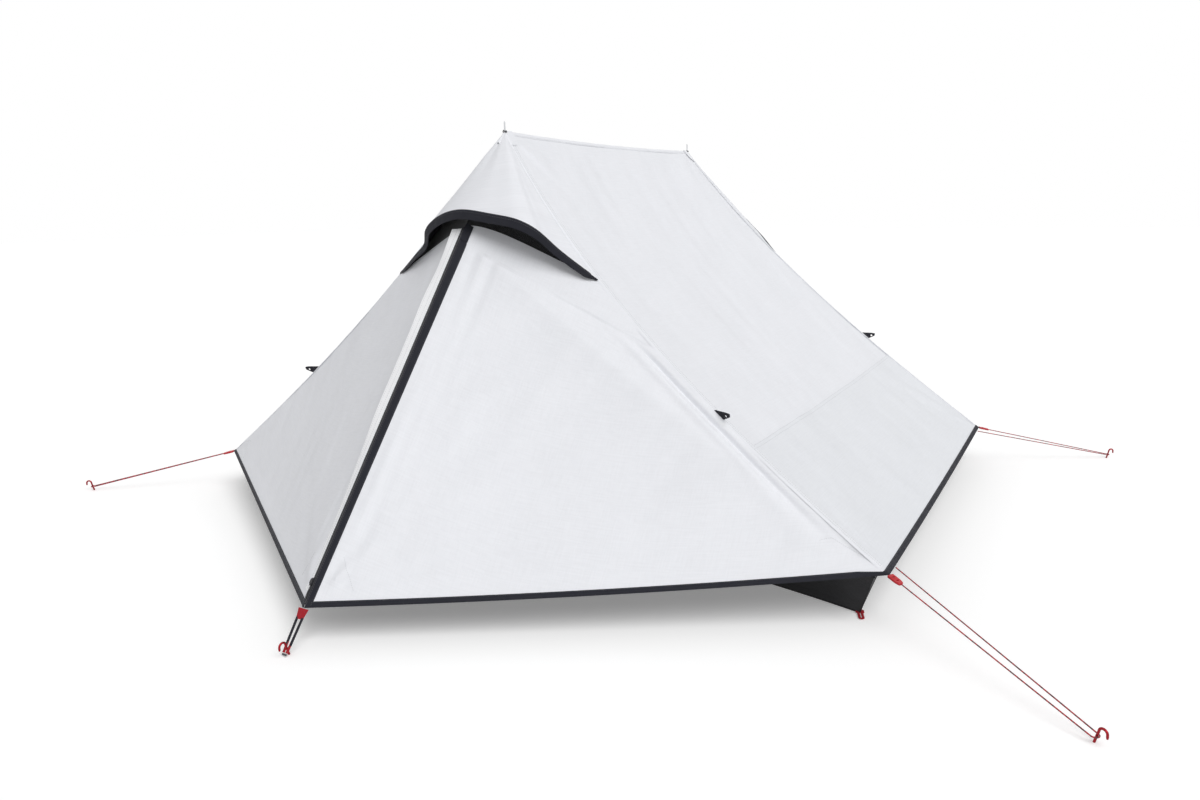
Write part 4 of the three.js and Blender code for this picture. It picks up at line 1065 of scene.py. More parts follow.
def door_cloth(end, turn):
    grid = Grid(stretch(door_surface, 0.0, CLOTH_END), 150, 130, blur=26)
    grid.lift(door_wrinkles(grid) * edge_window(grid, 0.03, 0.03, 0.02, 0.04, DOOR_TAPE_FOOT, HEM_WIDTH))
    made = piece(front_build(grid, DOOR_PATCHES), f"{end}_door_cloth", [FLY, LINING, WHITE_THREAD], turn,
                 "fly_cloth", None, f"{end}_door", f"{end}_door_gusset")
    declare(made, grid, "stretched", f"{end}_pole_upper")
    towards_zip = unit(np.cross(RIGHT_NORMAL, FOLD_TOP - FOLD_FOOT_PLACE))
    middle = (FOLD_TOP + FOLD_FOOT_PLACE) / 2
    start, stop = ((middle + towards_zip * distance) * (turn, turn, 1) for distance in (-0.010, 0.028))
    tuple(start)
    tuple(stop)
    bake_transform(made)
    head = Grid(stretch(head_surface, VENT_SHARE, 1.0, 0.004, 1.0), 90, 20)
    head.lift(-0.0008 * smooth(head.v, 0.6, 1.0))
    cloth(sheet_build(head), head, f"{end}_door_head_cloth", [FLY, LINING], turn, [f"{end}_door_gusset"],
          "stretched", f"{end}_pole_upper")


def zip_tape(build, near, far, normal, seed, stitched):
    lift = normal * TAPE_LIFT
    add_strip(build, near + lift, far + lift, normal, TAPE_THICK, pucker=0.12, seed=seed)
    for share in stitched:
        add_stitches(build, mix(near, far, share) + lift + normal * TAPE_THICK / 2, normal, 1)


def zip_tapes(end, turn):
    share = np.linspace(0.001, 1.0, 220)
    build = Build()
    far = fixed_at(TAPE_START + FIXED_TAPE, share)
    zip_tape(build, fixed_at(TAPE_START, share), far, LEFT_NORMAL, 61, [0.8])
    across = unit(door_at(0.02, vec(0))[0] - DOOR_TOP)
    over = (-0.010, DOOR_DROP - 0.0016, 12, 0.0012, TAPE_START + DOOR_TAPE_HEAD, TAPE_THICK)
    under = (DOOR_DROP - 0.005, DOOR_DROP + 0.005, 5, 0.0002, DOOR_TAPE_HEAD - 0.0005, 0.0006)
    for first, last, count, lift, width, thickness in (over, under):
        near = ZIP_TOP + ZIP_DOWN * np.linspace(first, last, count)[:, None] + RIGHT_NORMAL * lift
        add_strip(build, near + across * TAPE_START, near + across * width, RIGHT_NORMAL, thickness)
    coil = zip_at(np.linspace(0.002, 0.992, 200)) + unit(LEFT_NORMAL + RIGHT_NORMAL) * 0.0002
    add_tube(build, coil, 0.00125, 8, 2)
    piece(build, f"{end}_zip_fixed_tape_weave", [TAPE, BLACK_THREAD, TEETH], turn, "black_binding", "root",
          f"{end}_zip_fixed_tape")
    build = Build()
    far = door_at(TAPE_START + DOOR_TAPE_HEAD + share * (DOOR_TAPE_FOOT - DOOR_TAPE_HEAD), share)
    zip_tape(build, door_at(TAPE_START, share), far, RIGHT_NORMAL, 62, [0.14, 0.86])
    piece(build, f"{end}_zip_door_flap", [TAPE, BLACK_THREAD], turn, "black_binding", f"{end}_door_leaf",
          f"{end}_zip_door_tape")


# Hems
def hem_run(surface, top_at, columns, far_end=False):
    """Top and foot lines of the hem along a surface's foot, with its outward directions. At the far end it is
    turned half round and runs the other way."""
    points, normal, _ = Grid(stretch(surface, top_at, 1.0), columns, 2).skin()
    run = (points[0], points[-1], normal[-1])
    return [line[::-1] * (-1, -1, 1) for line in run] if far_end else run


def hem_piece(name, run, turn, body, node, seed):
    tops, feet, out = run
    build = Build()
    add_strip(build, tops, feet, out, HEM_THICK, pucker=0.18, seed=seed)
    add_stitches(build, mix(tops, feet, 0.18) + out * HEM_THICK / 2, out, 1)
    piece(build, name, [TAPE, BLACK_THREAD], turn, "black_binding", body, node)


def hems(end, left, turn):
    fixed = hem_run(fixed_surface, FACE_BINDING_TOP, 100)
    panel = hem_run(end_surface, END_BINDING_TOP, 110, True)
    gusset = hem_run(gusset_place, FACE_BINDING_TOP, 10, True)
    run = [np.concatenate([a[:-1], b, c[1:]]) for a, b, c in zip(fixed, panel, gusset)]
    hem_piece(f"{left}_hem_binding", run, turn, "root", f"{left}_hem", 71)
    door = hem_run(door_foot_surface, FACE_BINDING_TOP, 110)
    hem_piece(f"{end}_door_hem_binding", door, turn, f"{end}_door_leaf", f"{end}_door_hem", 72)


# Seams: a flat felled strip over each edge, with two rows of stitches
def over_edge(line, distance, one_way, other_way):
    """A strip over an edge: distances above 0 go one way from it, and those below 0 the other."""
    distance = distance[..., None]
    return line + one_way * np.maximum(distance, 0) + other_way * np.maximum(-distance, 0)


def seam_strip_surface(side):
    def surface(u, v):
        share = HOOD_TOP + (0.985 - HOOD_TOP) * v
        centre = seam(side, -1, share)
        on_end = unit(seam(side, 1, share) - centre)
        on_face = unit(mix(apex(), TIP, share) - centre)
        return over_edge(centre, u * (SEAM_WIDTH + 0.011) - SEAM_TURN, on_end, on_face)

    return surface


def ridge_surface(u, v):
    centre = mix(apex(-1), apex(1), v)
    centre[..., 2] -= belly(v) * RIDGE_SAG
    down = unit((end_surface(np.array(0.5), np.array(0.02)) - vec(0, 0, APEX_HEIGHT - RIDGE_SAG)) * (1, 0, 1))
    return over_edge(centre, (2 * u - 1) * 0.013, down, down * (-1, 1, 1))


def fell(name, grid, across, turn, *rests_on):
    build = sheet_build(grid, FELL_THICK, (0, 0))
    sheet_stitches(build, grid, 1, across=across)
    cloth(build, grid, name, [FLY, WHITE_THREAD], turn, [], "folded", *rests_on, sharp=70)


def seams(end, right, left, turn):
    for name, side in ((right, 1), (left, -1)):
        grid = Grid(seam_strip_surface(side), 12, 200)
        grid.lift(0.0009 + 0.0003 * value_noise(grid.top * 60, grid.u * 2, 81))
        fell(f"{end}_{name}_seam_fell", grid, (0.0115, -0.0026), turn, f"{end}_hood_cloth")


def ridge():
    grid = Grid(ridge_surface, 8, 120).lift(0.0012)
    fell("ridge_fell", grid, (0.003, -0.003), 1, "right_end_panel_cloth", "left_end_panel_cloth")


# Hood with its binding, the vent net and the apex cap
def hood(end, turn):
    grid = Grid(stretch(hood_surface(end), HOOD_TOP, 1.0), 120, 60)
    pulls = 0.008 * fan(grid.points, apex(), X, vec(0, -0.6, -0.8), 12, 0.20, 91)
    dents = 0.004 * hump(np.abs(2 * grid.u - 1), 0.66, 0.07) * smooth(grid.v, 0.15, 0.7)
    grid.lift((pulls + grid.waves(0.0015, 16, 4, 92) - dents) * edge_window(grid, 0.02, 0.02, 0.03, 0.02))
    cloth(sheet_build(grid), grid, f"{end}_hood_cloth", [FLY, LINING], turn, [f"{end}_hood"], "stretched",
          f"{end}_pole_upper")
    hood_binding(end, turn, grid)
    net = Grid(stretch(net_surface, NET_TOP, NET_FOOT), 80, 40)
    net.lift(net.waves(0.0012, 30, 8, 94) * edge_window(net, 0.02, 0.02, 0, 0.02) - 0.001)
    cloth(sheet_build(net, NET_THICK, (0, 0)), net, f"{end}_vent_net_mesh", [NET], turn, [f"{end}_vent_net"],
          "stretched", f"{end}_fixed_panel_cloth", f"{end}_door_head_cloth", slot="inner_net")


def hood_binding(end, turn, grid):
    """The tape hangs from the arch, lies on the front at its ends, and is folded over the edge."""
    u = np.linspace(0, 1, 161)
    side = 2 * u - 1
    top = arch_at(u, end)
    along = unit(np.gradient(top, axis=0))
    down = unit(np.stack([along[:, 2], 0 * u, -along[:, 0]], axis=-1))
    lie = (RIGHT_NORMAL[2] * down[:, 2] - RIGHT_NORMAL[0] * np.abs(down[:, 0])) / -RIGHT_NORMAL[1]
    down[:, 1] = lie * side * side
    down = unit(down)
    out = unit(np.cross(down, along))
    width = BINDING_WIDTH + (BINDING_END - BINDING_WIDTH) * side * side
    width = width * (0.25 + 0.75 * smooth(1 - np.abs(side), 0, 0.05))
    top = top - down * 0.0015 + out * BINDING_THICK / 2
    foot = top + down * (width + 0.002)[:, None]
    build = Build()
    add_strip(build, top, foot, out, BINDING_THICK, pucker=0.2, seed=93)
    add_stitches(build, mix(top, foot, 0.15) + out * BINDING_THICK / 2, out, 1)
    away = grid.skin()[1][-1, 2:-2]
    upper, edge = grid.points[[-1 - BINDING_WRAP_ROWS[end], -1], 2:-2] + away * CLOTH
    add_strip(build, upper, edge, away, 0.0016)
    piece(build, f"{end}_hood_binding_tape", [TAPE, BLACK_THREAD], turn, "black_binding", "root",
          f"{end}_hood_binding")


PATCH_SIDES = 64
PATCH_LIFT = 0.0026
EYELET = 0.0052


def apex_cap(end, turn):
    """A reinforcing patch over the apex, with a dark ring round the spike's hole."""
    radius = np.linspace(EYELET, 0.033, 10)[:, None]
    angle = 2 * math.pi * np.arange(PATCH_SIDES) / PATCH_SIDES
    x, y = radius * np.cos(angle), radius * np.sin(angle)
    on_ends = -np.abs(x) * END_NORMAL[0] / END_NORMAL[2]
    height = np.where(y >= 0, on_ends, np.minimum(on_ends, (y - np.abs(x)) * 1.03))
    build = Build()
    points = apex() + np.stack([x, y, height + PATCH_LIFT], axis=-1)
    build.add(points, ring_faces(len(radius), PATCH_SIDES, True)[:-2], np.stack([x, y], axis=-1))
    piece(build, f"{end}_apex_patch", [FLY], turn, "fly_cloth", "root", f"{end}_apex_cap", sharp=70)
    ring = round_line(vec(0, 0, PATCH_LIFT), X, Y, EYELET, 33)
    ring[:, 2] -= np.abs(ring[:, 0]) / EYELET * 0.0045
    build = Build()
    add_tube(build, apex() + ring, 0.0014, 10)
    piece(build, f"{end}_apex_eyelet", [ZIP], turn, "zip_metal", "root")


# The inner tent
RIM_FRONT_BOW = FLOOR_FRONT_BOW + TUB_CORNER_LEAN / 2 - TUB_LEAN
RIM_END_BOW = FLOOR_END_BOW + TUB_CORNER_LEAN - TUB_LEAN
INNER_GAP = 0.001
SLING_RING = 0.0115
ROLL_TURNS = 4.5
ROLL_STEPS = 60
ROLL_RADIUS = 0.023
ROLL_END_RADIUS = 0.010


def floor_corner(side, end):
    return vec(side * FLOOR_X, end * FLOOR_Y, 0)


def tub_corner(side, end):
    return vec(side * (FLOOR_X + TUB_CORNER_LEAN), end * (FLOOR_Y + TUB_CORNER_LEAN / 2), TUB_CORNER_HEIGHT)


def drawn_edge(a, b, bow, share):
    inward = unit(-(a + b) * (1, 1, 0))
    return mix(a, b, share) + inward * (belly(share) * bow)[..., None]


def rim_edge(a, b, bow, share):
    place = drawn_edge(a, b, bow, share)
    place[..., 2] -= belly(share) * (TUB_CORNER_HEIGHT - TUB_HEIGHT)
    return place


def inner_apex(end):
    return vec(0, end * INNER_RIDGE, INNER_APEX)


def inner_seam(side, end, share):
    sag = vec(-side * INNER_SAG[0], 0, -INNER_SAG[2])
    return mix(inner_apex(end), tub_corner(side, end), share) + belly(share)[..., None] * sag


def canopy_surface(u, v):
    place = between(inner_seam(1, -1, v), inner_seam(1, 1, v), u, INNER_GAP, INNER_GAP)
    rim = rim_edge(tub_corner(1, -1), tub_corner(1, 1), RIM_END_BOW, u)
    return place + (rim - mix(tub_corner(1, -1), tub_corner(1, 1), u)) * (v * v)[..., None]


def front_rim(share):
    return rim_edge(tub_corner(1, -1), tub_corner(-1, -1), RIM_FRONT_BOW, (1 + share) / 2)


def wall_surface(u, v):
    middle = front_rim(np.array(0.0))
    place = between(mix(inner_apex(-1), middle, v), inner_seam(-1, -1, v), u, 0, INNER_GAP)
    return place + (front_rim(u) - mix(middle, tub_corner(-1, -1), u)) * (v * v)[..., None]


def inner_tent(end, right, turn):
    grid = Grid(stretch(canopy_surface, 0.002, 0.999), 90, 70)
    grid.lift(grid.waves(0.005, 6, 2.5, 101) * edge_window(grid, 0.05, 0.05, 0.05, 0.05) - 0.001)
    cloth(sheet_build(grid, INNER_THICK, (0, 0)), grid, f"{right}_inner_canopy_net", [NET], turn,
          [f"{right}_inner_canopy"], "stretched", f"{end}_pole_upper", slot="inner_net")
    wall = Grid(stretch(wall_surface, 0.03, 0.999), 60, 70)
    wall.lift(wall.waves(0.004, 8, 3, 102) * edge_window(wall, 0.02, 0.05, 0.05, 0.04))
    build = sheet_build(wall, INNER_THICK, (0, 0))
    add_tube(build, wall.points[:, 0], 0.003, 8, 1)
    sewn = wall_surface(vec(0.5), vec(0.06))[0]
    pole = vec(0, -RIDGE_HALF, INNER_APEX)
    add_tube(build, round_line(pole, X, Y, SLING_RING, 33), 0.0018, 8, 1)
    near = pole + unit(sewn - pole) * (SLING_RING + 0.001)
    add_tube(build, [near, (near + sewn) / 2, sewn], 0.0022, 8, 1)
    cloth(build, wall, f"{end}_inner_wall_net", [NET, TAPE], turn, [f"{end}_inner_wall"], "stretched",
          f"{end}_pole_upper", slot="inner_net")
    door_roll(end, turn)


def door_roll(end, turn):
    """The net door of the inner tent, rolled up from its free edge and tied twice."""
    run = np.linspace(0, 1, 90)
    line = inner_seam(1, -1, 0.12 + run * (0.86 - 0.12))
    tangent = unit(np.gradient(line, axis=0))
    inward = unit(np.stack([tangent[:, 2], 0 * run, -tangent[:, 0]], axis=-1))
    over = unit(np.cross(-Y, tangent))
    waist = 1 - 0.25 * np.cos(2 * math.pi * 1.5 * run) ** 8
    radius = (ROLL_END_RADIUS + (ROLL_RADIUS - ROLL_END_RADIUS) * np.sin(math.pi * run)) * waist
    middle = line + inward * (ROLL_RADIUS + INNER_THICK)
    rows = []
    for s in np.linspace(0.25, 1, ROLL_STEPS):
        angle = 2 * math.pi * ROLL_TURNS * s
        wobble = 1 + 0.05 * value_noise(run * 14, np.full_like(run, s * 6), 111)
        r = (radius * (0.2 + 0.8 * s) * wobble * 0.97)[:, None]
        rows.append(middle - Y * r * math.cos(angle) + over * r * math.sin(angle))
    grid = Grid(lambda u, v: np.stack(rows, axis=1), ROLL_STEPS - 1, len(run) - 1)
    build = sheet_build(grid, NET_THICK, (0, 0))
    for at in (0.33, 0.66):
        i = int(at * (len(run) - 1))
        ring = round_line(middle[i], -Y, over[i], radius[i] + 0.0016, 29)
        width = tangent[i] * 0.008
        add_strip(build, ring - width, ring + width, unit(ring - middle[i]), 0.0014, 1)
    cloth(build, grid, f"{end}_inner_door_rolled_net", [NET, TAPE], turn, [f"{end}_inner_door_roll"],
          "folded", f"{end}_inner_wall_net", slot="inner_net")


TUB_CORNERS = [(1, -1), (1, 1), (-1, 1), (-1, -1)]


def tub_lines():
    """The foot and the rim of the tub's walls, all the way round."""
    steps = np.linspace(0, 1, 90)[:-1]
    feet, rims = [], []
    for k, (a, b) in enumerate(zip(TUB_CORNERS, TUB_CORNERS[1:] + TUB_CORNERS[:1])):
        floor_bow, rim_bow = (FLOOR_FRONT_BOW, RIM_FRONT_BOW) if k % 2 else (FLOOR_END_BOW, RIM_END_BOW)
        feet.append(drawn_edge(floor_corner(*a), floor_corner(*b), floor_bow, steps))
        rims.append(rim_edge(tub_corner(*a), tub_corner(*b), rim_bow, steps))
    foot, rim = (np.concatenate(lines + [lines[0][:1]]) for lines in (feet, rims))
    foot[:, 2] = 0.003
    return foot, rim


def tub_creases(grid):
    creases = grid.waves(0.003, 11, 20, 122)
    for c in TUB_CORNERS:
        away = grid.points - floor_corner(*c)
        distance = length(away)
        level = np.hypot(away[..., 0], away[..., 1])
        folds = value_noise(np.arctan2(grid.points[..., 2], level) * 7 + 4, distance * 3, 121) - 0.6
        creases += 0.013 * folds * np.exp(-distance / 0.25) * smooth(level, 0.04, 0.11)
    return creases * smooth(grid.top, 0, 0.01) * smooth(grid.foot, 0, 0.02) - 0.001


def tub():
    """The bathtub floor: coated walls drawn between their corners, a flat floor and four pegging loops."""
    foot, rim = tub_lines()
    side_steps = len(foot) // 4
    grid = Grid(lambda u, v: mix(rim[None], foot[None], v), len(foot) - 1, 14)
    grid.lift(tub_creases(grid))
    build = sheet_build(grid, TUB_THICK, (0, 0))
    tops = grid.points[0]
    out = unit(tops * (1, 1, 0))
    add_strip(build, tops - UP * 0.008, tops + UP * 0.001, out, 0.002, 1, pucker=0.1, seed=123)

    def floor(u, v):
        right = foot[: side_steps + 1]
        left = foot[2 * side_steps : 3 * side_steps + 1][::-1]
        places = (v[:, 0] * (len(right) - 1)).astype(int)
        made = mix(left[places][:, None], right[places][:, None], u)
        ends = floor_corner(-1, -1), floor_corner(1, -1)
        bow = drawn_edge(*ends, FLOOR_FRONT_BOW, u) - mix(*ends, u)
        made[..., :2] += bow[..., :2] * (1 - 2 * v)[..., None]
        made[..., 2] = FLOOR_LIFT
        return made

    ground = Grid(floor, 100, side_steps)
    ground.points[..., 2] += (0.0016 + ground.waves(0.0016, 7, 7, 124)) * edge_window(ground)
    add_sheet(build, ground, TUB_THICK, (0, 0))
    for side, end in TUB_CORNERS:
        floor_loop(build, side, end)
    materials = [TUB, TAPE, WEBBING, RED_THREAD]
    made = piece(build, "inner_tub_cloth", materials, 1, "tub_fabric", "root", "inner_tub")
    width = float(ground.near[:, -1].max()) + 2 * TUB_HEIGHT
    run = float(ground.top[-1].max()) + 2 * TUB_HEIGHT
    area = min(grid.area() + ground.area(), width * run)


def floor_loop(build, side, end):
    """A red pegging loop sewn under a corner of the floor."""
    out = unit(vec(side * 0.4, end, 0)) * (-1 if side * end > 0 else 1)
    across = vec(-out[1], out[0], 0)
    place = floor_corner(side, end) + UP * FLOOR_LIFT
    start = place - out * 0.018
    half = across * 0.0042
    bend = round_line(place + out * 0.0245, out, across, 0.0042, 15, -math.pi / 2, math.pi / 2)
    line = np.concatenate([[start - half, place - half], bend, [place + half, start + half]])
    width = unit(np.cross(np.gradient(line, axis=0), UP)) * 0.0032
    add_strip(build, line - width, line + width, UP, 0.0018, 2)
    sewn = np.array([start - across * 0.010, start + across * 0.010])
    add_strip(build, sewn + out * 0.003, sewn + out * 0.017, UP, 0.003, 2)


# Hardware
class Seat:
    """A place with axes of its own: along a piece, across it and off its face."""

    def __init__(self, place, along, normal):
        x = unit(along)
        y = unit(np.cross(normal, x))
        self.axes = np.stack([x, y, np.cross(x, y)])
        self.place = place

    def at(self, points):
        return np.asarray(points, float) @ self.axes + self.place

    def moved(self, *by):
        return Seat(self.at(by), self.axes[0], self.axes[2])


def lathe(build, profile, sides=40, mat=0):
    """A pole's part, turned round it from radius and height pairs."""
    foot = vec(0, -RIDGE_HALF, 0)
    rings = [round_line(foot + UP * height, X, Y, radius, sides + 1)[:-1] for radius, height in profile]
    uv = [(at, i / sides * 0.05) for at in runs(np.array(profile)) for i in range(sides)]
    build.add(np.concatenate(rings), ring_faces(len(profile), sides), uv, mat)


def poles(end, turn):
    shoe = [(0.0085, 0.0), (0.012, 0.002), (0.012, 0.010), (0.0105, 0.012), (POLE, 0.012)]
    lower = [(0.0079, 0.011), (POLE, 0.0135), (POLE, 0.586), (0.0076, 0.5895), (0.0065, 0.590),
             (0.0065, 0.648), (0.0058, 0.650)]
    shoulder = APEX_HEIGHT - 0.030
    top = APEX_HEIGHT + SPIKE_HEIGHT
    upper = [(0.0076, 0.5905), (POLE, 0.593), (POLE, shoulder - 0.012), (0.0074, shoulder - 0.009)]
    plug = [(0.0078, shoulder - 0.016), (0.0082, shoulder - 0.014), (0.0072, shoulder - 0.006),
            (0.0024, shoulder)]
    spike = [(SPIKE, shoulder - 0.002), (SPIKE, top - 0.005), (SPIKE * 2 / 3, top - 0.001), (0.0004, top)]
    for name, parts in (("lower", ((shoe, 40, 1), (lower, 40, 0))),
                        ("upper", ((upper, 40, 0), (plug, 40, 1), (spike, 20, 0)))):
        build = Build()
        for part in parts:
            lathe(build, *part)
        node = f"{end}_pole_{name}"
        piece(build, node + "_tube", [ALLOY, TEETH], turn, "pole_alloy", "root", node, sharp=35)


def add_plate(build, outline, holes, thickness, seat, bevel):
    """A plate with holes from a filled 2-D curve, with rounded edges, set at a place."""
    data = bpy.data.curves.new("outline", "CURVE")
    data.dimensions = "2D"
    data.fill_mode = "BOTH"
    data.extrude = thickness / 2 - bevel
    data.bevel_depth = bevel
    data.bevel_resolution = 2
    data.offset = -bevel
    for loop in [outline, *holes]:
        spline = data.splines.new("POLY")
        spline.points.add(len(loop) - 1)
        for target, place in zip(spline.points, loop):
            target.co = (*place, 0, 1)
        spline.use_cyclic_u = True
    holder = placed(bpy.data.objects.new("outline", data))
    mesh = bpy.data.meshes.new_from_object(holder.evaluated_get(bpy.context.evaluated_depsgraph_get()))
    points = np.array([v.co for v in mesh.vertices])
    build.add(seat.at(points), [tuple(p.vertices) for p in mesh.polygons], points[:, :2])
    bpy.data.objects.remove(holder)
    bpy.data.curves.remove(data)
    bpy.data.meshes.remove(mesh)


def rounded(corners, radius, steps=5):
    """The corners of an outline, each rounded off by a short arc."""
    made = []
    corners = np.array(corners, float)
    for before, here, after in zip(np.roll(corners, 1, 0), corners, np.roll(corners, -1, 0)):
        reach = min(radius, length(before - here) / 2.2, length(after - here) / 2.2)
        start = here + unit(before - here) * reach
        stop = here + unit(after - here) * reach
        for t in np.linspace(0, 1, steps):
            made.append((1 - t) ** 2 * start + 2 * t * (1 - t) * here + t * t * stop)
    return made


def both_sides(half):
    """An outline from its half at y below 0, mirrored for the other half."""
    return half + [(x, -y) for x, y in half[::-1]]


def line_lock(end, name, side, turn):
    axis = guy_axis(side)
    seat = Seat(corner(side) + axis * LOCK_GAP, axis, UP - axis * axis[2])
    outline = rounded(both_sides([(0, -0.009), (0.0252, -0.009), (LOCK_LENGTH, -0.006)]), 0.003)
    holes = [rounded([(x, -r), (x, r), (x + 0.003, r), (x + 0.003, -r)], 0.0008, 3)
             for x, r in ((0.009, 0.0045), (0.0216, 0.0036))]
    build = Build()
    add_plate(build, outline, holes, 0.0058, seat, 0.0012)
    add_tube(build, seat.at([(0.0155, y, 0.0028) for y in np.linspace(-0.007, 0.007, 9)]), 0.0011, 8)
    node = f"{end}_{name}_line_lock"
    piece(build, node + "_body", [LOCK], turn, "red_line_lock", "root", node, sharp=40)


TAB_SHARE = 0.655
TAB_HOLE = (0.017, 0.015)
TAB_HALF_THICK = 0.0012


def seam_tab(end, name, side, turn):
    tangent = unit(seam(side, -1, TAB_SHARE + 0.01) - seam(side, -1, TAB_SHARE - 0.01))
    between_sides = unit((RIGHT_NORMAL + END_NORMAL) * (side, 1, 1))
    reach = unit(between_sides - tangent * np.dot(between_sides, tangent))
    seat = Seat(seam(side, -1, TAB_SHARE) + reach * 0.0005, tangent, np.cross(tangent, reach))
    outline = rounded([(-0.017, 0), (0.017, 0), (0.027, 0.0225), (0.022, 0.030), (0.0102, 0.0225)], 0.002, 4)
    hole = round_line(vec(*TAB_HOLE), X[:2], Y[:2], 0.0036, 21)[:-1]
    build = Build()
    add_plate(build, outline, [hole], 2 * TAB_HALF_THICK, seat, 0.0005)
    for up in (-TAB_HALF_THICK, TAB_HALF_THICK):
        add_tube(build, seat.at(round_line(vec(*TAB_HOLE, up), X, Y, 0.0042, 25)), 0.0007, 8, 1)
        line = seat.at([(x, 0.004, up) for x in np.linspace(-0.013, 0.015, 12)])
        add_stitches(build, line, seat.axes[2] * np.sign(up), 2, pitch=0.004, size=0.8)
    node = f"{end}_{name}_seam_tab"
    piece(build, node + "_webbing", [TAPE, ZIP, BLACK_THREAD], turn, "black_binding", "root", node, sharp=40)


def peg(node, place, out, turn):
    """A peg's rod as it stands out of the ground, with a hook bent over at its top."""
    out = unit(vec(*out, 0))
    rod = [place + out * height * 0.010 / 0.034 + UP * height for height in (0.0, 0.013, 0.026)]
    hook = round_line(rod[-1] + out * 0.008, -out, UP, 0.008, 13, 0, math.pi)[1:]
    line = [*rod, *hook, hook[-1] - UP * 0.004, hook[-1] - UP * 0.0075]
    build = Build()
    add_tube(build, line, [0.0025] * (len(line) - 1) + [0.0018], 16)
    piece(build, node + "_rod", [PEG], turn, "peg_metal", "root", node, sharp=60)


def point_strap(end, turn):
    """The red pegging loop at the point: a sewn head, two dark strands and a red foot with a dark tip."""
    way = vec(0, -(POINT_REACH + 0.061), 0.004) - TIP
    run = float(length(way))
    way = unit(way)
    normal = vec(0, way[2], -way[1])
    seat = Seat(TIP - normal * 0.00125, way, normal)
    build = Build()
    bands = [(0.0005, 0, 0.024, 0, 0.0105, 0, 0.0055)]
    bands += [(0.020, y * 0.0080, run - 0.022, y * 0.0062, 0.0036, 1, 0) for y in (-1, 1)]
    bands += [(run - 0.030, y * 0.0061, run - 0.006, y * 0.0050, 0.0036, 0, 0) for y in (-1, 1)]
    bands.append((run - 0.0045, 0, run - 0.0005, 0, 0.0072, 2, 0))
    share = np.linspace(0, 1, 12)
    for x0, y0, x1, y1, half, mat, flare in bands:
        line = seat.at(mix(vec(x0, y0, 0), vec(x1, y1, 0), share))
        across = unit(np.cross(normal, line[-1] - line[0])) * (half + flare * (1 - share))[:, None]
        add_strip(build, line - across, line + across, normal, 0.002, mat, pucker=0.08, seed=131)
    for y in (-0.009, 0.0, 0.009):
        line = seat.at([(x, y, 0.001) for x in np.linspace(0.004, 0.021, 8)])
        add_stitches(build, line, normal, 3, pitch=0.0036, size=0.8)
    piece(build, f"{end}_point_strap_webbing", [WEBBING, TAPE, BLACK_THREAD, RED_THREAD], turn, "red_webbing",
          "root", f"{end}_point_strap", sharp=60)
    peg(f"{end}_point_peg", vec(0, -1.4442, 0), (0, -1), turn)


SLIDER_UP = 0.056
SLIDER_HALF = 0.009


def slider(end, turn):
    """Zip slider and pull, each on its own body, set where the frame's own are."""
    place = fixed_at(TAPE_START + FIXED_TAPE / 2, vec(1 - SLIDER_UP / ZIP_LENGTH))[0] + LEFT_NORMAL * 0.0015
    seat = Seat(place, ZIP_DOWN, LEFT_NORMAL)
    body = rounded(both_sides([(-SLIDER_HALF, -0.0050), (0.004, -0.0050), (SLIDER_HALF, -0.0034)]), 0.0022)
    build = Build()
    add_plate(build, body, [], 0.0018, seat.moved(0, 0, 0.0010), 0.0004)
    add_plate(build, body, [], 0.0016, seat.moved(0, 0, 0.0034), 0.0004)
    bridge = [(-0.0065, 0, 0.0040), (-0.0055, 0, 0.0062), (-0.001, 0, 0.0066), (0.004, 0, 0.0062),
              (0.0055, 0, 0.0040)]
    add_tube(build, seat.at(bridge), 0.0009, 10)
    add_tube(build, seat.at([(-0.003, 0, 0.0015), (0.001, 0, 0.0030)]), 0.0020, 10)
    node = f"{end}_zip_slider"
    piece(build, node + "_body", [ZIP], turn, "zip_metal", f"{end}_slider", node, sharp=40)
    tab = rounded(both_sides([(-0.0008, -0.0030), (0.008, -0.0038), (0.026, -0.0040)]), 0.003)
    slot = rounded([(0.006, -0.00175), (0.006, 0.00175), (0.020, 0.00175), (0.020, -0.00175)], 0.0016, 4)
    build = Build()
    add_plate(build, tab, [slot], 0.0019, seat.moved(SLIDER_HALF + 0.0014, 0, 0.001), 0.0005)
    piece(build, f"{end}_zip_pull_tab", [ZIP], turn, "zip_metal", f"{end}_pull", f"{end}_zip_pull", sharp=40)


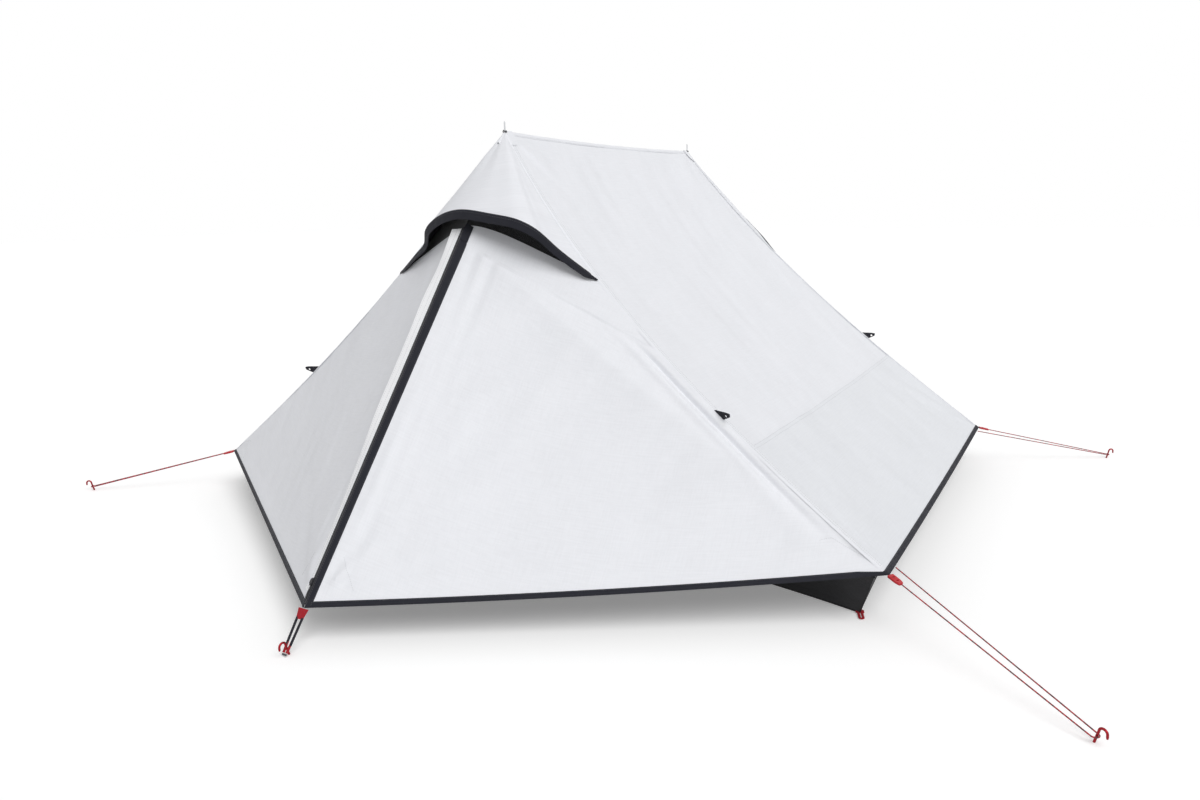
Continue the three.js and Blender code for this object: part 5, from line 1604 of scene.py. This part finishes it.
for end, right, left, turn in ENDS:
    end_panel(end, right, turn)
    fixed_panel(end, turn)
    door_cloth(end, turn)
    zip_tapes(end, turn)
    hood(end, turn)
    hems(end, left, turn)
    seams(end, right, left, turn)
    apex_cap(end, turn)
    inner_tent(end, right, turn)
    poles(end, turn)
    slider(end, turn)
    point_strap(end, turn)
    for name, side in ((right, 1), (left, -1)):
        line_lock(end, name, side, turn)
        seam_tab(end, name, side, turn)
        peg(f"{end}_{name}_guy_peg", vec(side * GUY_PEG[0], GUY_PEG[1], 0), (side * 0.425, -0.255), turn)
ridge()
tub()

# Floor, light and world
FLOOR_HALF = 30.0
FLOOR_COLOR = (0.9, 0.9, 0.9)
CAMERA_GLOW = 0.237
KEY_WAY = (0.56, -0.30, 0.772)
KEY_STRENGTH = 1.86
KEY_SPREAD = 42
AMBIENT = 0.405


def camera_share(tree):
    """All for rays of the camera and for mirrored and passing ones, and none for the others."""
    seen, glossy, passing = (add_node(tree, "ShaderNodeLightPath", {}, f"Is {kind} Ray")
                             for kind in ("Camera", "Glossy", "Transmission"))
    other = add_node(tree, "ShaderNodeMath", {0: glossy, 1: passing}, 0, operation="MAXIMUM")
    return add_node(tree, "ShaderNodeMath", {0: seen, 1: other}, 0, operation="MAXIMUM")


def make_floor():
    mesh = bpy.data.meshes.new("floor")
    corners = [(x * FLOOR_HALF, y * FLOOR_HALF, 0) for x, y in ((-1, -1), (1, -1), (1, 1), (-1, 1))]
    mesh.from_pydata(corners, [], [(0, 1, 2, 3)])
    paper = Nodes("floor_paper", FLOOR_COLOR, 0.9, Emission_Color=(1, 1, 1, 1))
    paper.shade("Emission Strength", paper.math("MULTIPLY", camera_share(paper.tree), CAMERA_GLOW))
    mesh.materials.append(paper.material)
    placed(bpy.data.objects.new("floor", mesh))


def make_light():
    data = bpy.data.lights.new("key", "SUN")
    data.energy = KEY_STRENGTH
    data.angle = math.radians(KEY_SPREAD)
    key = placed(bpy.data.objects.new("key", data))
    key.rotation_mode = "QUATERNION"
    key.rotation_quaternion = Vector(KEY_WAY).to_track_quat("Z", "Y")


def make_world():
    world = bpy.data.worlds.new("studio")
    bpy.context.scene.world = world
    world.use_nodes = True
    tree = world.node_tree
    shade = tree.nodes["Background"]
    strength = {"Value": camera_share(tree), "To Min": AMBIENT, "To Max": 1.0}
    tree.links.new(add_node(tree, "ShaderNodeMapRange", strength, 0), shade.inputs["Strength"])
    shade.inputs["Color"].default_value = (1, 1, 1, 1)


make_floor()
make_light()
make_world()
bpy.context.scene.view_settings.view_transform = "Standard"
